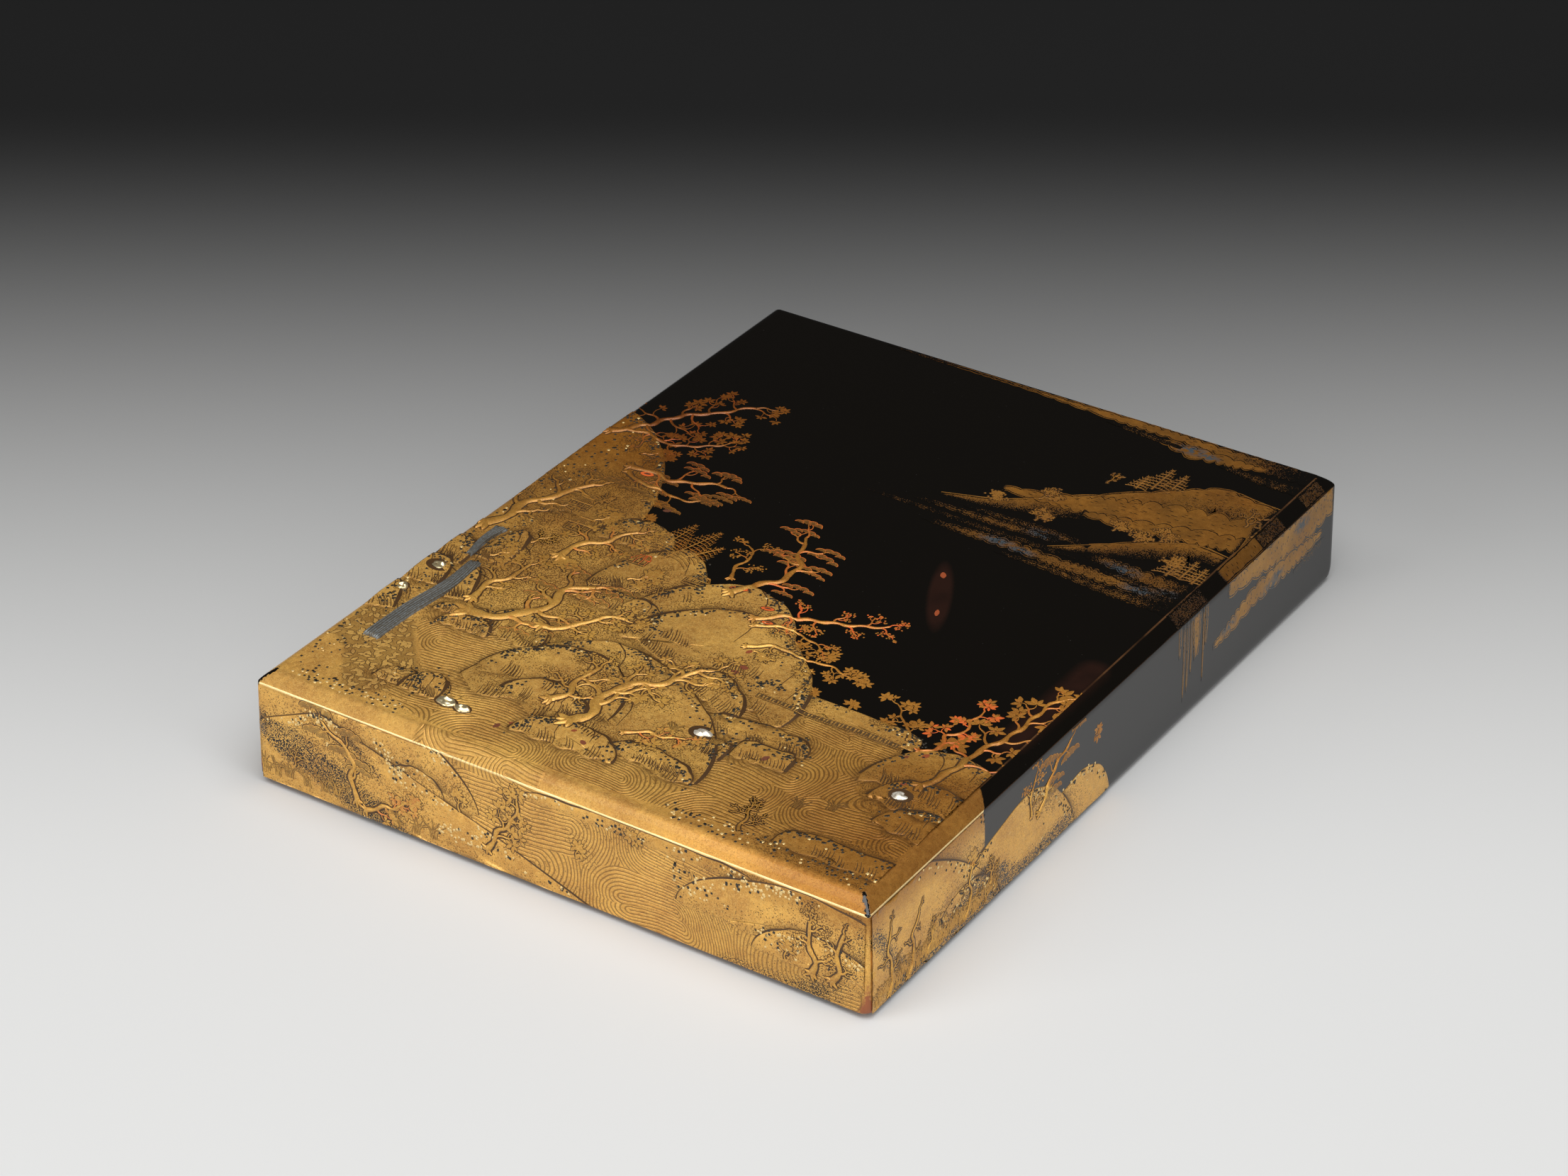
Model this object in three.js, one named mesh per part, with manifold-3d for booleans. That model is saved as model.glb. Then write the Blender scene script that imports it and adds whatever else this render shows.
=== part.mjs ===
// Lacquer writing box: a cover with a raised landscape over a shallow tray, closed.
// Sizes are in millimetres. +Z is up, the long side runs along +Y, and the tray's foot stands on z = 0.
// In the landscape "up" is +Y: a hill's base is towards -Y and its crest towards +Y.
import * as THREE from "three";
import { mergeVertices } from "three/addons/utils/BufferGeometryUtils.js";
import Module from "manifold-3d";

const wasm = await Module();
wasm.setup();

// The cover's outside
const lidLength = 250; // at the outer edge of the slope round the top
const lidWidth = 192.2;
const lidHeight = 33.5; // rim to top board, without the relief
const flare = 0.6; // each wall leans out this far on its way down to the rim
const slopeWide = 3.9; // the slope round the top, seen from above
const slopeHigh = 3.35;
const slopeBulge = 0.14; // how far the middle of the slope stands out of a straight line
const cornerRadius = 1.2;
const wornCornerRadius = 3; // the corners of the rim are worn rounder
const wornCornerHeight = 3;
const rimRounding = 0.5;
const cornerSteps = 4; // straight pieces in each rounded corner

// Thickness, and what stands inside what
const wallThick = 3.2;
const topThick = 4;
const fitGap = 0.5; // between the cover's walls and the tray's
const trayWall = 3;
const trayFloor = 4;
const rimAboveTable = 1.5; // the cover hangs on the tray, clear of the table
const footHeight = 1.2;
const footWidth = 4;
const footInset = 2;

// Relief
const reliefEdge = 0.3; // size of the small slope along a raised edge
const reliefSink = 0.6; // how far a raised form reaches down into the board
const moundSteps = 11; // straight pieces on each side of a crest
const inlayDeep = 0.5; // recess under the metal inlays
const inlayGap = 0.15; // round an inlay
const sink = 1; // how far a cutter reaches out of the face that it cuts

const rimZ = rimAboveTable;
const topZ = rimZ + lidHeight;
const edgeZ = topZ - slopeHigh;
const ceilingZ = topZ - topThick;
const innerWidth = lidWidth - 2 * wallThick;
const innerLength = lidLength - 2 * wallThick;
const innerRadius = 1.5; // of the corners inside the cover
const trayWidth = innerWidth - 2 * fitGap;
const trayLength = innerLength - 2 * fitGap;

// Every place in the landscape is given in per cent: 100 is from the middle of the cover to its side
// or end, so the landscape follows the cover's size. Widths and lifts are in millimetres.
// A raised hill or rock: from and to are the ends of its base, crest is how far along the base it peaks,
// rise its height over the base in the picture, in per cent too, full how boxy it is (1 is a tent, 2 is
// round, 6 is a block), and lift how far it stands off the board.
const hills = [
  { from: [-139.6, -9.6], to: [-56.2, -9.6], crest: 0.49, rise: 44.8, full: 1.65, lift: 0.35 },
  { from: [-64.6, -14.4], to: [-39.6, -14.4], crest: 0.45, rise: 10.4, full: 2.2, lift: 0.45 },
  { from: [-51, -32], to: [-16.7, -27.2], crest: 0.6, rise: 20, full: 1.6, lift: 0.5 },
  { from: [18.8, -49.6], to: [72.9, -49.6], crest: 0.45, rise: 6, full: 5, lift: 0.35 },
  { from: [-35.4, -39.2], to: [20.8, -46.4], crest: 0.44, rise: 28, full: 1.9, lift: 0.65 },
  { from: [-49, -38.4], to: [-18.8, -40], crest: 0.5, rise: 7.2, full: 2, lift: 0.5 },
  { from: [-28.1, -44], to: [36.5, -56.8], crest: 0.4, rise: 24.8, full: 1.9, lift: 0.85 },
  { from: [-3.1, -52.8], to: [24, -60.8], crest: 0.36, rise: 8.8, full: 1.9, lift: 1.0 },
  { from: [14.6, -65.6], to: [50, -64], crest: 0.55, rise: 6.4, full: 3, lift: 0.4 },
  { from: [21.9, -74.4], to: [31.2, -74.4], crest: 0.5, rise: 6.4, full: 5, lift: 0.5 },
  { from: [31.9, -71.2], to: [49, -70.4], crest: 0.5, rise: 6.4, full: 6, lift: 0.45 },
  { from: [-52.1, -76.8], to: [32.3, -84], crest: 0.34, rise: 30.4, full: 1.8, lift: 0.55 },
  { from: [-51, -71.2], to: [-4.2, -75.2], crest: 0.52, rise: 17.6, full: 1.9, lift: 0.75 },
  { from: [-38.5, -76.8], to: [-10.4, -79.2], crest: 0.5, rise: 8.8, full: 2, lift: 0.9 },
  { from: [2.1, -83.2], to: [31.2, -84.8], crest: 0.4, rise: 5.6, full: 2.2, lift: 0.7 },
  { from: [-25, -88], to: [8.3, -87.2], crest: 0.42, rise: 8.4, full: 2.1, lift: 0.8 },
  { from: [-64.6, -59.2], to: [-41.7, -61.6], crest: 0.4, rise: 11.2, full: 2, lift: 0.5 },
  { from: [-79.2, -59.2], to: [-60.4, -58.4], crest: 0.6, rise: 4.8, full: 2, lift: 0.6 },
  { from: [-74.5, -63.2], to: [-57.3, -62.4], crest: 0.55, rise: 5.6, full: 2, lift: 0.75 },
  { from: [-71.9, -87.6], to: [-56.2, -87.6], crest: 0.45, rise: 5.6, full: 2.2, lift: 0.6 },
  { from: [-62.5, -88], to: [-50, -88], crest: 0.5, rise: 8, full: 2.4, lift: 0.75 },
  { from: [-86.5, -36.8], to: [-76, -36.8], crest: 0.45, rise: 14.4, full: 2.2, lift: 0.6 },
  { from: [-101, -41.6], to: [-87, -41.6], crest: 0.5, rise: 10.4, full: 2.4, lift: 0.6 },
  { from: [-101, -52.8], to: [-85.4, -51.2], crest: 0.6, rise: 11.2, full: 2.4, lift: 0.75 },
  { from: [-101, -67.2], to: [-88.5, -64], crest: 0.6, rise: 12, full: 2.2, lift: 0.6 },
  { from: [-80.2, -54.4], to: [-73.4, -52.8], crest: 0.5, rise: 13.6, full: 2.4, lift: 0.5 },
  { from: [66.1, -62.4], to: [112.5, -65.6], crest: 0.36, rise: 17.6, full: 2, lift: 0.6 },
  { from: [72.9, -68], to: [108.3, -70.4], crest: 0.4, rise: 10.4, full: 2.2, lift: 0.8 },
  { from: [80.2, -75.2], to: [112.5, -77.6], crest: 0.4, rise: 8.8, full: 2.2, lift: 0.6 },
  { from: [63.5, -92], to: [108.3, -92], crest: 0.4, rise: 6.4, full: 3.5, lift: 0.4 },
];

// A raised tree trunk: the points it runs through, its widths at the root and the tip, and its lift.
const trunks = [
  { through: [[-93.8, -21.6], [-91.1, -12.8], [-92.2, -4.8], [-90.1, 2.4]], root: 4, tip: 1.6, lift: 1.0 },
  {
    through: [[-75, 12], [-69.8, 17], [-61.5, 16], [-57.8, 21], [-61.5, 24.4]],
    root: 4.4,
    tip: 1.6,
    lift: 1.1,
  },
  { through: [[-89.6, 28], [-90.6, 36.8], [-86.5, 44.8], [-89.6, 52.8]], root: 5, tip: 1.5, lift: 1.0 },
  { through: [[-11.5, -18.4], [-9.4, -9.6], [-11.5, -2.4], [-8.9, 5.6]], root: 3.4, tip: 1.4, lift: 1.15 },
  { through: [[3.1, -26.4], [5.2, -18.4], [12.5, -13.6], [22.9, -11.2]], root: 3, tip: 1.3, lift: 1.0 },
  {
    through: [[-61.5, -54.4], [-58.3, -46.4], [-56.2, -39.2], [-60.4, -32.8]],
    root: 4,
    tip: 1.8,
    lift: 1.15,
  },
  {
    through: [[-5.2, -74.4], [-8.9, -66.4], [-5.7, -57.6], [-7.8, -48.8]],
    root: 4.2,
    tip: 1.4,
    lift: 1.35,
  },
  { through: [[93.8, -52.8], [92.2, -40], [92.7, -28.8], [89.6, -17.6]], root: 2.4, tip: 1.5, lift: 0.9 },
  { through: [[86.5, -50.4], [89.6, -44.8], [84.4, -41.2]], root: 2.8, tip: 1.5, lift: 1.2 },
];
const trunkSteps = 7;

// The metal inlays: the two strips of the stream, and the nuggets as ovals at a place in the picture.
const upperStream = {
  through: [[-88.5, -24.4], [-88.8, -30.4], [-87.5, -37.6]],
  root: 4.4,
  tip: 1.8,
  lift: 0.75,
};
const lowerStream = {
  through: [[-83.3, -39.2], [-82.3, -49.6], [-83.9, -62.4], [-84.4, -76]],
  root: 3.4,
  tip: 5.4,
  lift: 0.75,
};
const nuggets = {
  cliff_nugget_upper: { at: [-90.8, -45.2], wide: 6, long: 4.2, lift: 1.7, lobes: 5 },
  cliff_nugget_lower: { at: [-93.3, -56], wide: 3.2, long: 3.6, lift: 1.5, lobes: 4 },
  shore_nugget_left: { at: [-46.5, -87.4], wide: 5.6, long: 3.5, lift: 1.2, lobes: 5 },
  shore_nugget_right: { at: [-40.8, -87.7], wide: 4.4, long: 3, lift: 1.1, lobes: 4 },
  centre_nugget: { at: [20.8, -68.3], wide: 6, long: 4.4, lift: 1.5, lobes: 3 },
  island_nugget: { at: [81.2, -65.2], wide: 5.4, long: 3.8, lift: 1.7, lobes: 3 },
};
const lobeDepth = 0.06; // how far the outline of a nugget waves, as a part of its size
const nuggetEdge = 0.2; // the slope round a nugget, as a part of its length
const nuggetSides = 20;

// Takes a place in per cent to millimetres.
function onCover([x, y]) {
  return new THREE.Vector2(((x / 100) * lidWidth) / 2, ((y / 100) * lidLength) / 2);
}

// Turns a three.js geometry into a manifold-3d solid.
function solid(geometry) {
  const bare = new THREE.BufferGeometry();
  bare.setAttribute("position", geometry.getAttribute("position").clone());
  if (geometry.index) bare.setIndex(geometry.index.clone());
  const merged = mergeVertices(bare, 1e-4);
  return new wasm.Manifold(
    new wasm.Mesh({
      numProp: 3,
      vertProperties: new Float32Array(merged.attributes.position.array),
      triVerts: new Uint32Array(merged.index.array),
    }),
  );
}

// Turns a manifold-3d solid back into a named three.js mesh.
function node(name, made, material) {
  const out = made.getMesh();
  const geometry = new THREE.BufferGeometry();
  const positions = new Float32Array(out.vertProperties);
  geometry.setAttribute("position", new THREE.BufferAttribute(positions, 3));
  geometry.setIndex(new THREE.BufferAttribute(new Uint32Array(out.triVerts), 1));
  geometry.computeVertexNormals();
  const mesh = new THREE.Mesh(geometry, new THREE.MeshStandardMaterial(material));
  mesh.name = name;
  return mesh;
}

// The points of a rectangle with rounded corners, counter-clockwise.
function roundedRectangle(width, length, radius) {
  const points = [];
  const centres = [
    [width / 2 - radius, length / 2 - radius],
    [radius - width / 2, length / 2 - radius],
    [radius - width / 2, radius - length / 2],
    [width / 2 - radius, radius - length / 2],
  ];
  centres.forEach(([x, y], corner) => {
    for (let step = 0; step <= cornerSteps; step++) {
      const turn = ((corner + step / cornerSteps) * Math.PI) / 2;
      points.push([x + radius * Math.cos(turn), y + radius * Math.sin(turn)]);
    }
  });
  return points;
}

// Joins rounded rectangles at rising heights into one closed solid.
// A section is [width, length, radius, z].
function stackedSections(sections) {
  const rings = sections.map(([width, length, radius]) => roundedRectangle(width, length, radius));
  const count = rings[0].length;
  const vertices = [];
  rings.forEach((ring, level) => ring.forEach(([x, y]) => vertices.push(x, y, sections[level][3])));
  const faces = [];
  for (let level = 0; level + 1 < rings.length; level++)
    for (let i = 0; i < count; i++) {
      const a = level * count + i;
      const b = level * count + ((i + 1) % count);
      faces.push(a, b, b + count, a, b + count, a + count);
    }
  const last = (rings.length - 1) * count;
  for (let i = 1; i + 1 < count; i++) {
    faces.push(0, i + 1, i);
    faces.push(last, last + i, last + i + 1);
  }
  const geometry = new THREE.BufferGeometry();
  geometry.setAttribute("position", new THREE.Float32BufferAttribute(vertices, 3));
  geometry.setIndex(faces);
  return solid(geometry);
}

// A section of the cover, given by how far it is inside the outer edge of the slope.
function coverSection(inset, z, radius) {
  return [lidWidth - 2 * inset, lidLength - 2 * inset, radius, z];
}

// The cover's outside: rounded rim, walls that lean out, and the slope round the top.
function coverBody() {
  const halfSlope = slopeWide / 2 - slopeBulge * Math.SQRT1_2;
  const halfSlopeZ = edgeZ + slopeHigh / 2 + slopeBulge * Math.SQRT1_2;
  const lean = (wornCornerHeight / (edgeZ - rimZ)) * flare;
  return stackedSections([
    coverSection(rimRounding - flare, rimZ, wornCornerRadius),
    coverSection(rimRounding * 0.3 - flare, rimZ + rimRounding * 0.3, wornCornerRadius),
    coverSection(-flare, rimZ + rimRounding, wornCornerRadius * 0.8),
    coverSection(lean - flare, rimZ + wornCornerHeight, cornerRadius),
    coverSection(0, edgeZ, cornerRadius),
    coverSection(halfSlope, halfSlopeZ, cornerRadius * 0.8),
    coverSection(slopeWide, topZ, cornerRadius * 0.6),
  ]);
}

// The space under the cover.
function coverHollow() {
  return stackedSections([
    [innerWidth, innerLength, innerRadius, rimZ - sink],
    [innerWidth, innerLength, innerRadius, ceilingZ],
  ]);
}

// What the relief may fill: it follows the slope a little way out and thins to nothing at the edge.
function reliefRoom() {
  const overSlope = 0.35;
  const overBoard = 0.6;
  const clearOfRidge = 6;
  const aboveAll = 3;
  return stackedSections([
    coverSection(0, edgeZ, cornerRadius),
    coverSection(slopeWide * 0.5, edgeZ + slopeHigh * 0.5 + overSlope, cornerRadius * 0.8),
    coverSection(slopeWide, topZ + overBoard, cornerRadius),
    coverSection(clearOfRidge, topZ + aboveAll, cornerRadius),
  ]);
}

// The outline of a hill: a rounded back over its base line, with the base cut by shallow scallops.
function hillOutline({ from, to, crest, rise, full }) {
  const base = onCover(from);
  const along = onCover(to).sub(base);
  const length = along.length();
  along.normalize();
  const up = new THREE.Vector2(-along.y, along.x);
  const at = (s, h) => base.clone().addScaledVector(along, s * length).addScaledVector(up, h);
  const points = [];
  for (let i = 0; i <= 2 * moundSteps; i++) {
    const side = i <= moundSteps ? crest : 1 - crest;
    const turn = (Math.PI / 2) * (i / moundSteps - 1);
    const reach = Math.sign(turn) * Math.abs(Math.sin(turn)) ** (2 / full);
    const height = Math.max(Math.cos(turn), 0) ** (2 / full);
    points.push(at(crest + reach * side, onCover([0, height * rise]).y));
  }
  const scallops = 4;
  const scallopDeep = Math.min(0.05 * length, 0.1 * onCover([0, rise]).y);
  for (let i = 1; i < 2 * scallops; i++) {
    const s = 1 - i / (2 * scallops);
    points.push(at(s, i % 2 ? -scallopDeep : -scallopDeep * 0.3));
  }
  return points;
}

// The outline of a tapered strip along a smooth line through the given points.
function stripOutline({ through, root, tip }, grow = 0) {
  const curve = new THREE.SplineCurve(through.map(onCover));
  const left = [];
  const right = [];
  for (let i = 0; i <= trunkSteps; i++) {
    const t = i / trunkSteps;
    const middle = curve.getPoint(t);
    const ahead = curve.getTangent(t);
    const across = new THREE.Vector2(-ahead.y, ahead.x);
    const half = (root + (tip - root) * Math.sqrt(t)) / 2 + grow;
    const end = i === 0 ? -grow : i === trunkSteps ? grow : 0;
    middle.addScaledVector(ahead, end);
    left.push(middle.clone().addScaledVector(across, half));
    right.push(middle.clone().addScaledVector(across, -half));
  }
  return [...right, ...left.reverse()];
}

// The outline of a nugget: an oval that waves a few times.
function nuggetOutline({ at, wide, long, lobes }, grow = 0) {
  const middle = onCover(at);
  const points = [];
  for (let i = 0; i < nuggetSides; i++) {
    const turn = (2 * Math.PI * i) / nuggetSides;
    const wave = 1 + lobeDepth * Math.cos(lobes * turn);
    const x = middle.x + (wide / 2) * wave * Math.cos(turn) + grow * Math.cos(turn);
    const y = middle.y + (long / 2) * wave * Math.sin(turn) + grow * Math.sin(turn);
    points.push(new THREE.Vector2(x, y));
  }
  return points;
}

// Raises an outline from bottom to top, with a small slope of the given size along its upper edge.
function raised(points, bottom, top, edge) {
  const outline = THREE.ShapeUtils.isClockWise(points) ? [...points].reverse() : points;
  const shape = new THREE.Shape(outline);
  const geometry = new THREE.ExtrudeGeometry(shape, {
    depth: top - bottom - edge,
    steps: 1,
    bevelEnabled: edge > 0,
    bevelThickness: edge,
    bevelSize: edge,
    bevelOffset: -edge,
    bevelSegments: 1,
  });
  // keep the slope on top only, so the underside is flat
  const position = geometry.getAttribute("position");
  for (let i = 0; i < position.count; i++) position.setZ(i, Math.max(position.getZ(i), 0));
  geometry.translate(0, 0, bottom);
  return solid(geometry);
}

// All the raised hills and trunks, held to the room that the relief may fill.
function landscape() {
  const forms = [
    ...hills.map((hill) => [hillOutline(hill), hill.lift]),
    ...trunks.map((trunk) => [stripOutline(trunk), trunk.lift]),
  ];
  const bottom = edgeZ - reliefSink;
  const all = forms.map(([outline, lift]) => raised(outline, bottom, topZ + lift, reliefEdge));
  return wasm.Manifold.union(all).intersect(reliefRoom());
}

// An inlay and the recess it lies in, as one pair of solids.
function inlayPair(outline, grownOutline, lift, edge) {
  const floor = topZ - inlayDeep;
  return {
    piece: raised(outline, floor, topZ + lift, edge),
    recess: raised(grownOutline, floor, topZ + lift + sink, 0),
  };
}

function allInlays() {
  const made = {};
  const streams = { upper_stream_inlay: upperStream, lower_stream_inlay: lowerStream };
  for (const [name, strip] of Object.entries(streams))
    made[name] = inlayPair(stripOutline(strip), stripOutline(strip, inlayGap), strip.lift, reliefEdge);
  for (const [name, nugget] of Object.entries(nuggets)) {
    const edge = nugget.long * nuggetEdge;
    made[name] = inlayPair(nuggetOutline(nugget), nuggetOutline(nugget, inlayGap), nugget.lift, edge);
  }
  return made;
}

function lid(inlays) {
  let made = coverBody().add(landscape()).subtract(coverHollow());
  for (const { recess } of Object.values(inlays)) made = made.subtract(recess);
  return made;
}

// The tray: walls up to the cover's ceiling, which rests on them, an open inside, and a low foot.
function tray() {
  const body = stackedSections([
    [trayWidth, trayLength, cornerRadius, footHeight],
    [trayWidth, trayLength, cornerRadius, ceilingZ],
  ]);
  const inside = stackedSections([
    [trayWidth - 2 * trayWall, trayLength - 2 * trayWall, cornerRadius, footHeight + trayFloor],
    [trayWidth - 2 * trayWall, trayLength - 2 * trayWall, cornerRadius, ceilingZ + sink],
  ]);
  const footOuter = [trayWidth - 2 * footInset, trayLength - 2 * footInset, cornerRadius];
  const footInner = footOuter.map((size, i) => (i < 2 ? size - 2 * footWidth : size));
  const foot = stackedSections([
    [...footOuter, 0],
    [...footOuter, footHeight + sink],
  ]);
  const underFoot = stackedSections([
    [...footInner, -sink],
    [...footInner, footHeight],
  ]);
  return body.add(foot).subtract(inside).subtract(underFoot);
}

const lacquerGold = { color: 0x6b5027, roughness: 0.38, metalness: 0.35 };
const lacquerBlack = { color: 0x14110e, roughness: 0.3, metalness: 0 };
const pewter = { color: 0x5d666b, roughness: 0.5, metalness: 0.8 };
const goldNugget = { color: 0xcdb678, roughness: 0.3, metalness: 1 };
const silverNugget = { color: 0xb9b3a6, roughness: 0.3, metalness: 1 };
const inlayMaterials = {
  upper_stream_inlay: pewter,
  lower_stream_inlay: pewter,
  centre_nugget: silverNugget,
  island_nugget: silverNugget,
};

const box = new THREE.Group();
box.name = "lacquer_writing_box";
const inlays = allInlays();
box.add(node("lid", lid(inlays), lacquerGold));
box.add(node("tray", tray(), lacquerBlack));
for (const [name, { piece }] of Object.entries(inlays))
  box.add(node(name, piece, inlayMaterials[name] ?? goldNugget));

export default box;
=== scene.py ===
# %% [markdown]
# # A lacquer writing box with a raised gold landscape
# The box is thin wood under many coats of black lacquer. Hills, rocks and trees are built up in lacquer
# and dusted with gold powder, so the picture stands about a millimetre off the lid.
# The solid model already gives every size. Here the same forms are built finer, and the finishes are made.

import math
import random

import bpy
import numpy as np
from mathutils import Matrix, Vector


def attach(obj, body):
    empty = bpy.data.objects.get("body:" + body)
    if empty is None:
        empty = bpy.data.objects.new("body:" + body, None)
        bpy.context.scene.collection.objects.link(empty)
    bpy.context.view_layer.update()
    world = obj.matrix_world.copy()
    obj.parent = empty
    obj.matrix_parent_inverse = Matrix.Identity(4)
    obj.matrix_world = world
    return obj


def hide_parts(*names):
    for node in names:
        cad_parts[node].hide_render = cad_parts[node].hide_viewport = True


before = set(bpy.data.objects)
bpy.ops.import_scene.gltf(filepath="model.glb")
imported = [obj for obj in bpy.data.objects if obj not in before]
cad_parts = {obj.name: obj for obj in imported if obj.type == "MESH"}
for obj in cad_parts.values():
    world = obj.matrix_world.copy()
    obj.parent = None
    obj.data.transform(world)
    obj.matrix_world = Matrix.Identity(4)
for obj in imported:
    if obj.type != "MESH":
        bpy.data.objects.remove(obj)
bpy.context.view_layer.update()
print("solid pieces:", sorted(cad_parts))

# %% [markdown]
# ## Sizes
# All drawing is done in millimetres, and turned into metres only when a mesh is made.
# The lid has a flat top, a narrow slope round it, and walls that lean out a little towards the rim.

# %% Sizes in millimetres
MM = 0.001
LENGTH = 250.0
WIDTH = 192.2
HEIGHT = 33.5
RIM_Z = 1.5
TOP_Z = RIM_Z + HEIGHT
FLARE = 0.6
SLOPE_WIDE = 3.9
SLOPE_HIGH = 3.35
EDGE_Z = TOP_Z - SLOPE_HIGH
SLOPE = math.hypot(SLOPE_WIDE, SLOPE_HIGH)
WALL = EDGE_Z - RIM_Z
WALL_THICK = 3.2
TOP_THICK = 4.0
SLOPE_BULGE = 0.2
FLAT_X = WIDTH / 2 - SLOPE_WIDE
FLAT_Y = LENGTH / 2 - SLOPE_WIDE

# %% [markdown]
# ## Camera
# A long lens from well above the near corner keeps the box's sides almost parallel.
# The distance and angles come from matching the box's corners to the picture.

# %% Camera
def show(name, data):
    """Puts a mesh, a camera or a lamp into the scene."""
    thing = bpy.data.objects.new(name, data)
    bpy.context.scene.collection.objects.link(thing)
    return thing


AZIMUTH, ELEVATION = math.radians(33.3), math.radians(31.76)
CAMERA_AWAY = 1205.1
target = np.array([-31.6, 31.7, RIM_Z])
back = np.array(
    [
        math.sin(AZIMUTH) * math.cos(ELEVATION),
        -math.cos(AZIMUTH) * math.cos(ELEVATION),
        math.sin(ELEVATION),
    ]
)
camera = show("camera", bpy.data.cameras.new("camera"))
camera.location = (target + CAMERA_AWAY * back) * MM
camera.rotation_euler = (math.pi / 2 - ELEVATION, 0, AZIMUTH)
camera.data.lens = 96.0
camera.data.sensor_width = 36.0
camera.data.clip_end = 20
bpy.context.scene.camera = camera

# %% [markdown]
# ## A small kit for materials
# A finish is a graph of nodes. These few helpers make and join nodes, so that each material below
# reads as a short recipe: where a pattern lies, how it is thresholded, and which colours it picks between.

# %% Material helpers
GRAIN_SIZE = 0.32
GRAIN_SPREAD = 0.45


class Recipe:
    """One material's nodes."""

    def __init__(self, name):
        self.material = bpy.data.materials.new(name)
        self.material.use_nodes = True
        self.tree = self.material.node_tree
        self.tree.nodes.clear()
        place = self.add("ShaderNodeTexCoord").outputs["Object"]
        self.place = self.add(
            "ShaderNodeVectorMath", {0: place, "Scale": 1 / MM}, operation="SCALE"
        ).outputs[0]

    def put(self, socket, value):
        """Joins a socket to another node, or sets its value."""
        if isinstance(value, bpy.types.NodeSocket):
            self.tree.links.new(value, socket)
        elif hasattr(socket.default_value, "__len__") and len(value) == 3:
            socket.default_value = (*value, 1.0)[: len(socket.default_value)]
        else:
            socket.default_value = value

    def add(self, kind, inputs=None, **settings):
        node = self.tree.nodes.new(kind)
        for key, value in settings.items():
            setattr(node, key, value)
        for key, value in (inputs or {}).items():
            self.put(node.inputs[key], value)
        return node

    def math(self, operation, *values):
        node = self.add("ShaderNodeMath", operation=operation)
        for socket, value in zip(node.inputs, values):
            self.put(socket, value)
        return node.outputs[0]

    def plus(self, first, second):
        return self.math("ADD", first, second)

    def minus(self, first, second):
        return self.math("SUBTRACT", first, second)

    def times(self, first, second):
        return self.math("MULTIPLY", first, second)

    def most(self, first, second):
        """The larger of two values."""
        return self.math("MAXIMUM", first, second)

    def vectors(self, operation, first, second):
        """One sum on two vectors."""
        return self.add("ShaderNodeVectorMath", {0: first, 1: second}, operation=operation).outputs[0]

    def parts(self, vector):
        """A vector's x, y and z."""
        return self.add("ShaderNodeSeparateXYZ", {0: vector}).outputs

    def mix(self, share, first, second, how="MIX"):
        """Two colours mixed. Sockets 6 and 7 and output 2 are the node's colour ones."""
        node = self.add("ShaderNodeMix", data_type="RGBA", blend_type=how)
        self.put(node.inputs[0], share)
        self.put(node.inputs[6], first)
        self.put(node.inputs[7], second)
        return node.outputs[2]

    def blend(self, share, first, second):
        node = self.add("ShaderNodeMix", data_type="FLOAT")
        for index, value in ((0, share), (2, first), (3, second)):
            self.put(node.inputs[index], value)
        return node.outputs[0]

    def number(self, name):
        """A number kept on the mesh's points."""
        return self.add("ShaderNodeAttribute", attribute_name=name).outputs["Fac"]

    def vector(self, name):
        """A vector kept on the mesh's points."""
        return self.add("ShaderNodeAttribute", attribute_name=name).outputs["Vector"]

    def noise(self, size, detail=2.0, roughness=0.5, at=None):
        """Soft noise, 0 to 1, whose features are about size millimetres."""
        inputs = {"Vector": at or self.place, "Scale": 1 / size, "Detail": detail, "Roughness": roughness}
        return self.add("ShaderNodeTexNoise", inputs).outputs[0]

    def cells(self, size, out="Distance", at=None):
        """A pattern of small cells. Color is a random colour a cell."""
        inputs = {"Vector": at or self.place, "Scale": 1 / size}
        return self.add("ShaderNodeTexVoronoi", inputs).outputs[out]

    def ramp(self, value, low, high, to_low=0.0, to_high=1.0):
        """value from low to high becomes to_low to to_high, held at both ends."""
        node = self.add("ShaderNodeMapRange")
        for socket, item in zip(node.inputs, (value, low, high, to_low, to_high)):
            self.put(socket, item)
        return node.outputs[0]

    def sprinkle(self, dense):
        """Powder: 1 on a grain, 0 between grains. dense 0 is bare and 1 is covered."""
        grain = self.add("ShaderNodeTexVoronoi", {"Vector": self.place, "Scale": 1 / GRAIN_SIZE})
        pick = self.add("ShaderNodeSeparateColor", {"Color": grain.outputs["Color"]}).outputs[1]
        reach = self.minus(self.times(dense, 1 + GRAIN_SPREAD), self.times(pick, GRAIN_SPREAD))
        return self.ramp(self.minus(reach, grain.outputs["Distance"]), -0.05, 0.05)

    def bump(self, height, distance, strength):
        """A fine relief that only the light sees. distance is in millimetres."""
        inputs = {"Height": height, "Distance": distance * MM, "Strength": strength}
        return self.add("ShaderNodeBump", inputs).outputs[0]

    def finish(self, **inputs):
        """Ends the recipe with the shader. An underscore stands for a space in a socket's name."""
        shader = self.add("ShaderNodeBsdfPrincipled")
        for key, value in inputs.items():
            self.put(shader.inputs[key.replace("_", " ")], value)
        self.add("ShaderNodeOutputMaterial", {"Surface": shader.outputs[0]})
        return self.material


# %% [markdown]
# ## Black lacquer and gold
# Gold powder is metal, but each grain is small and lies at its own angle, so it looks like soft satin gold
# with brown where lacquer shows between grains. Black lacquer is dark and glassy, with a faint haze.
# Both are one shader here, so a share from 0 (black) to 1 (gold) moves between them.

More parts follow.
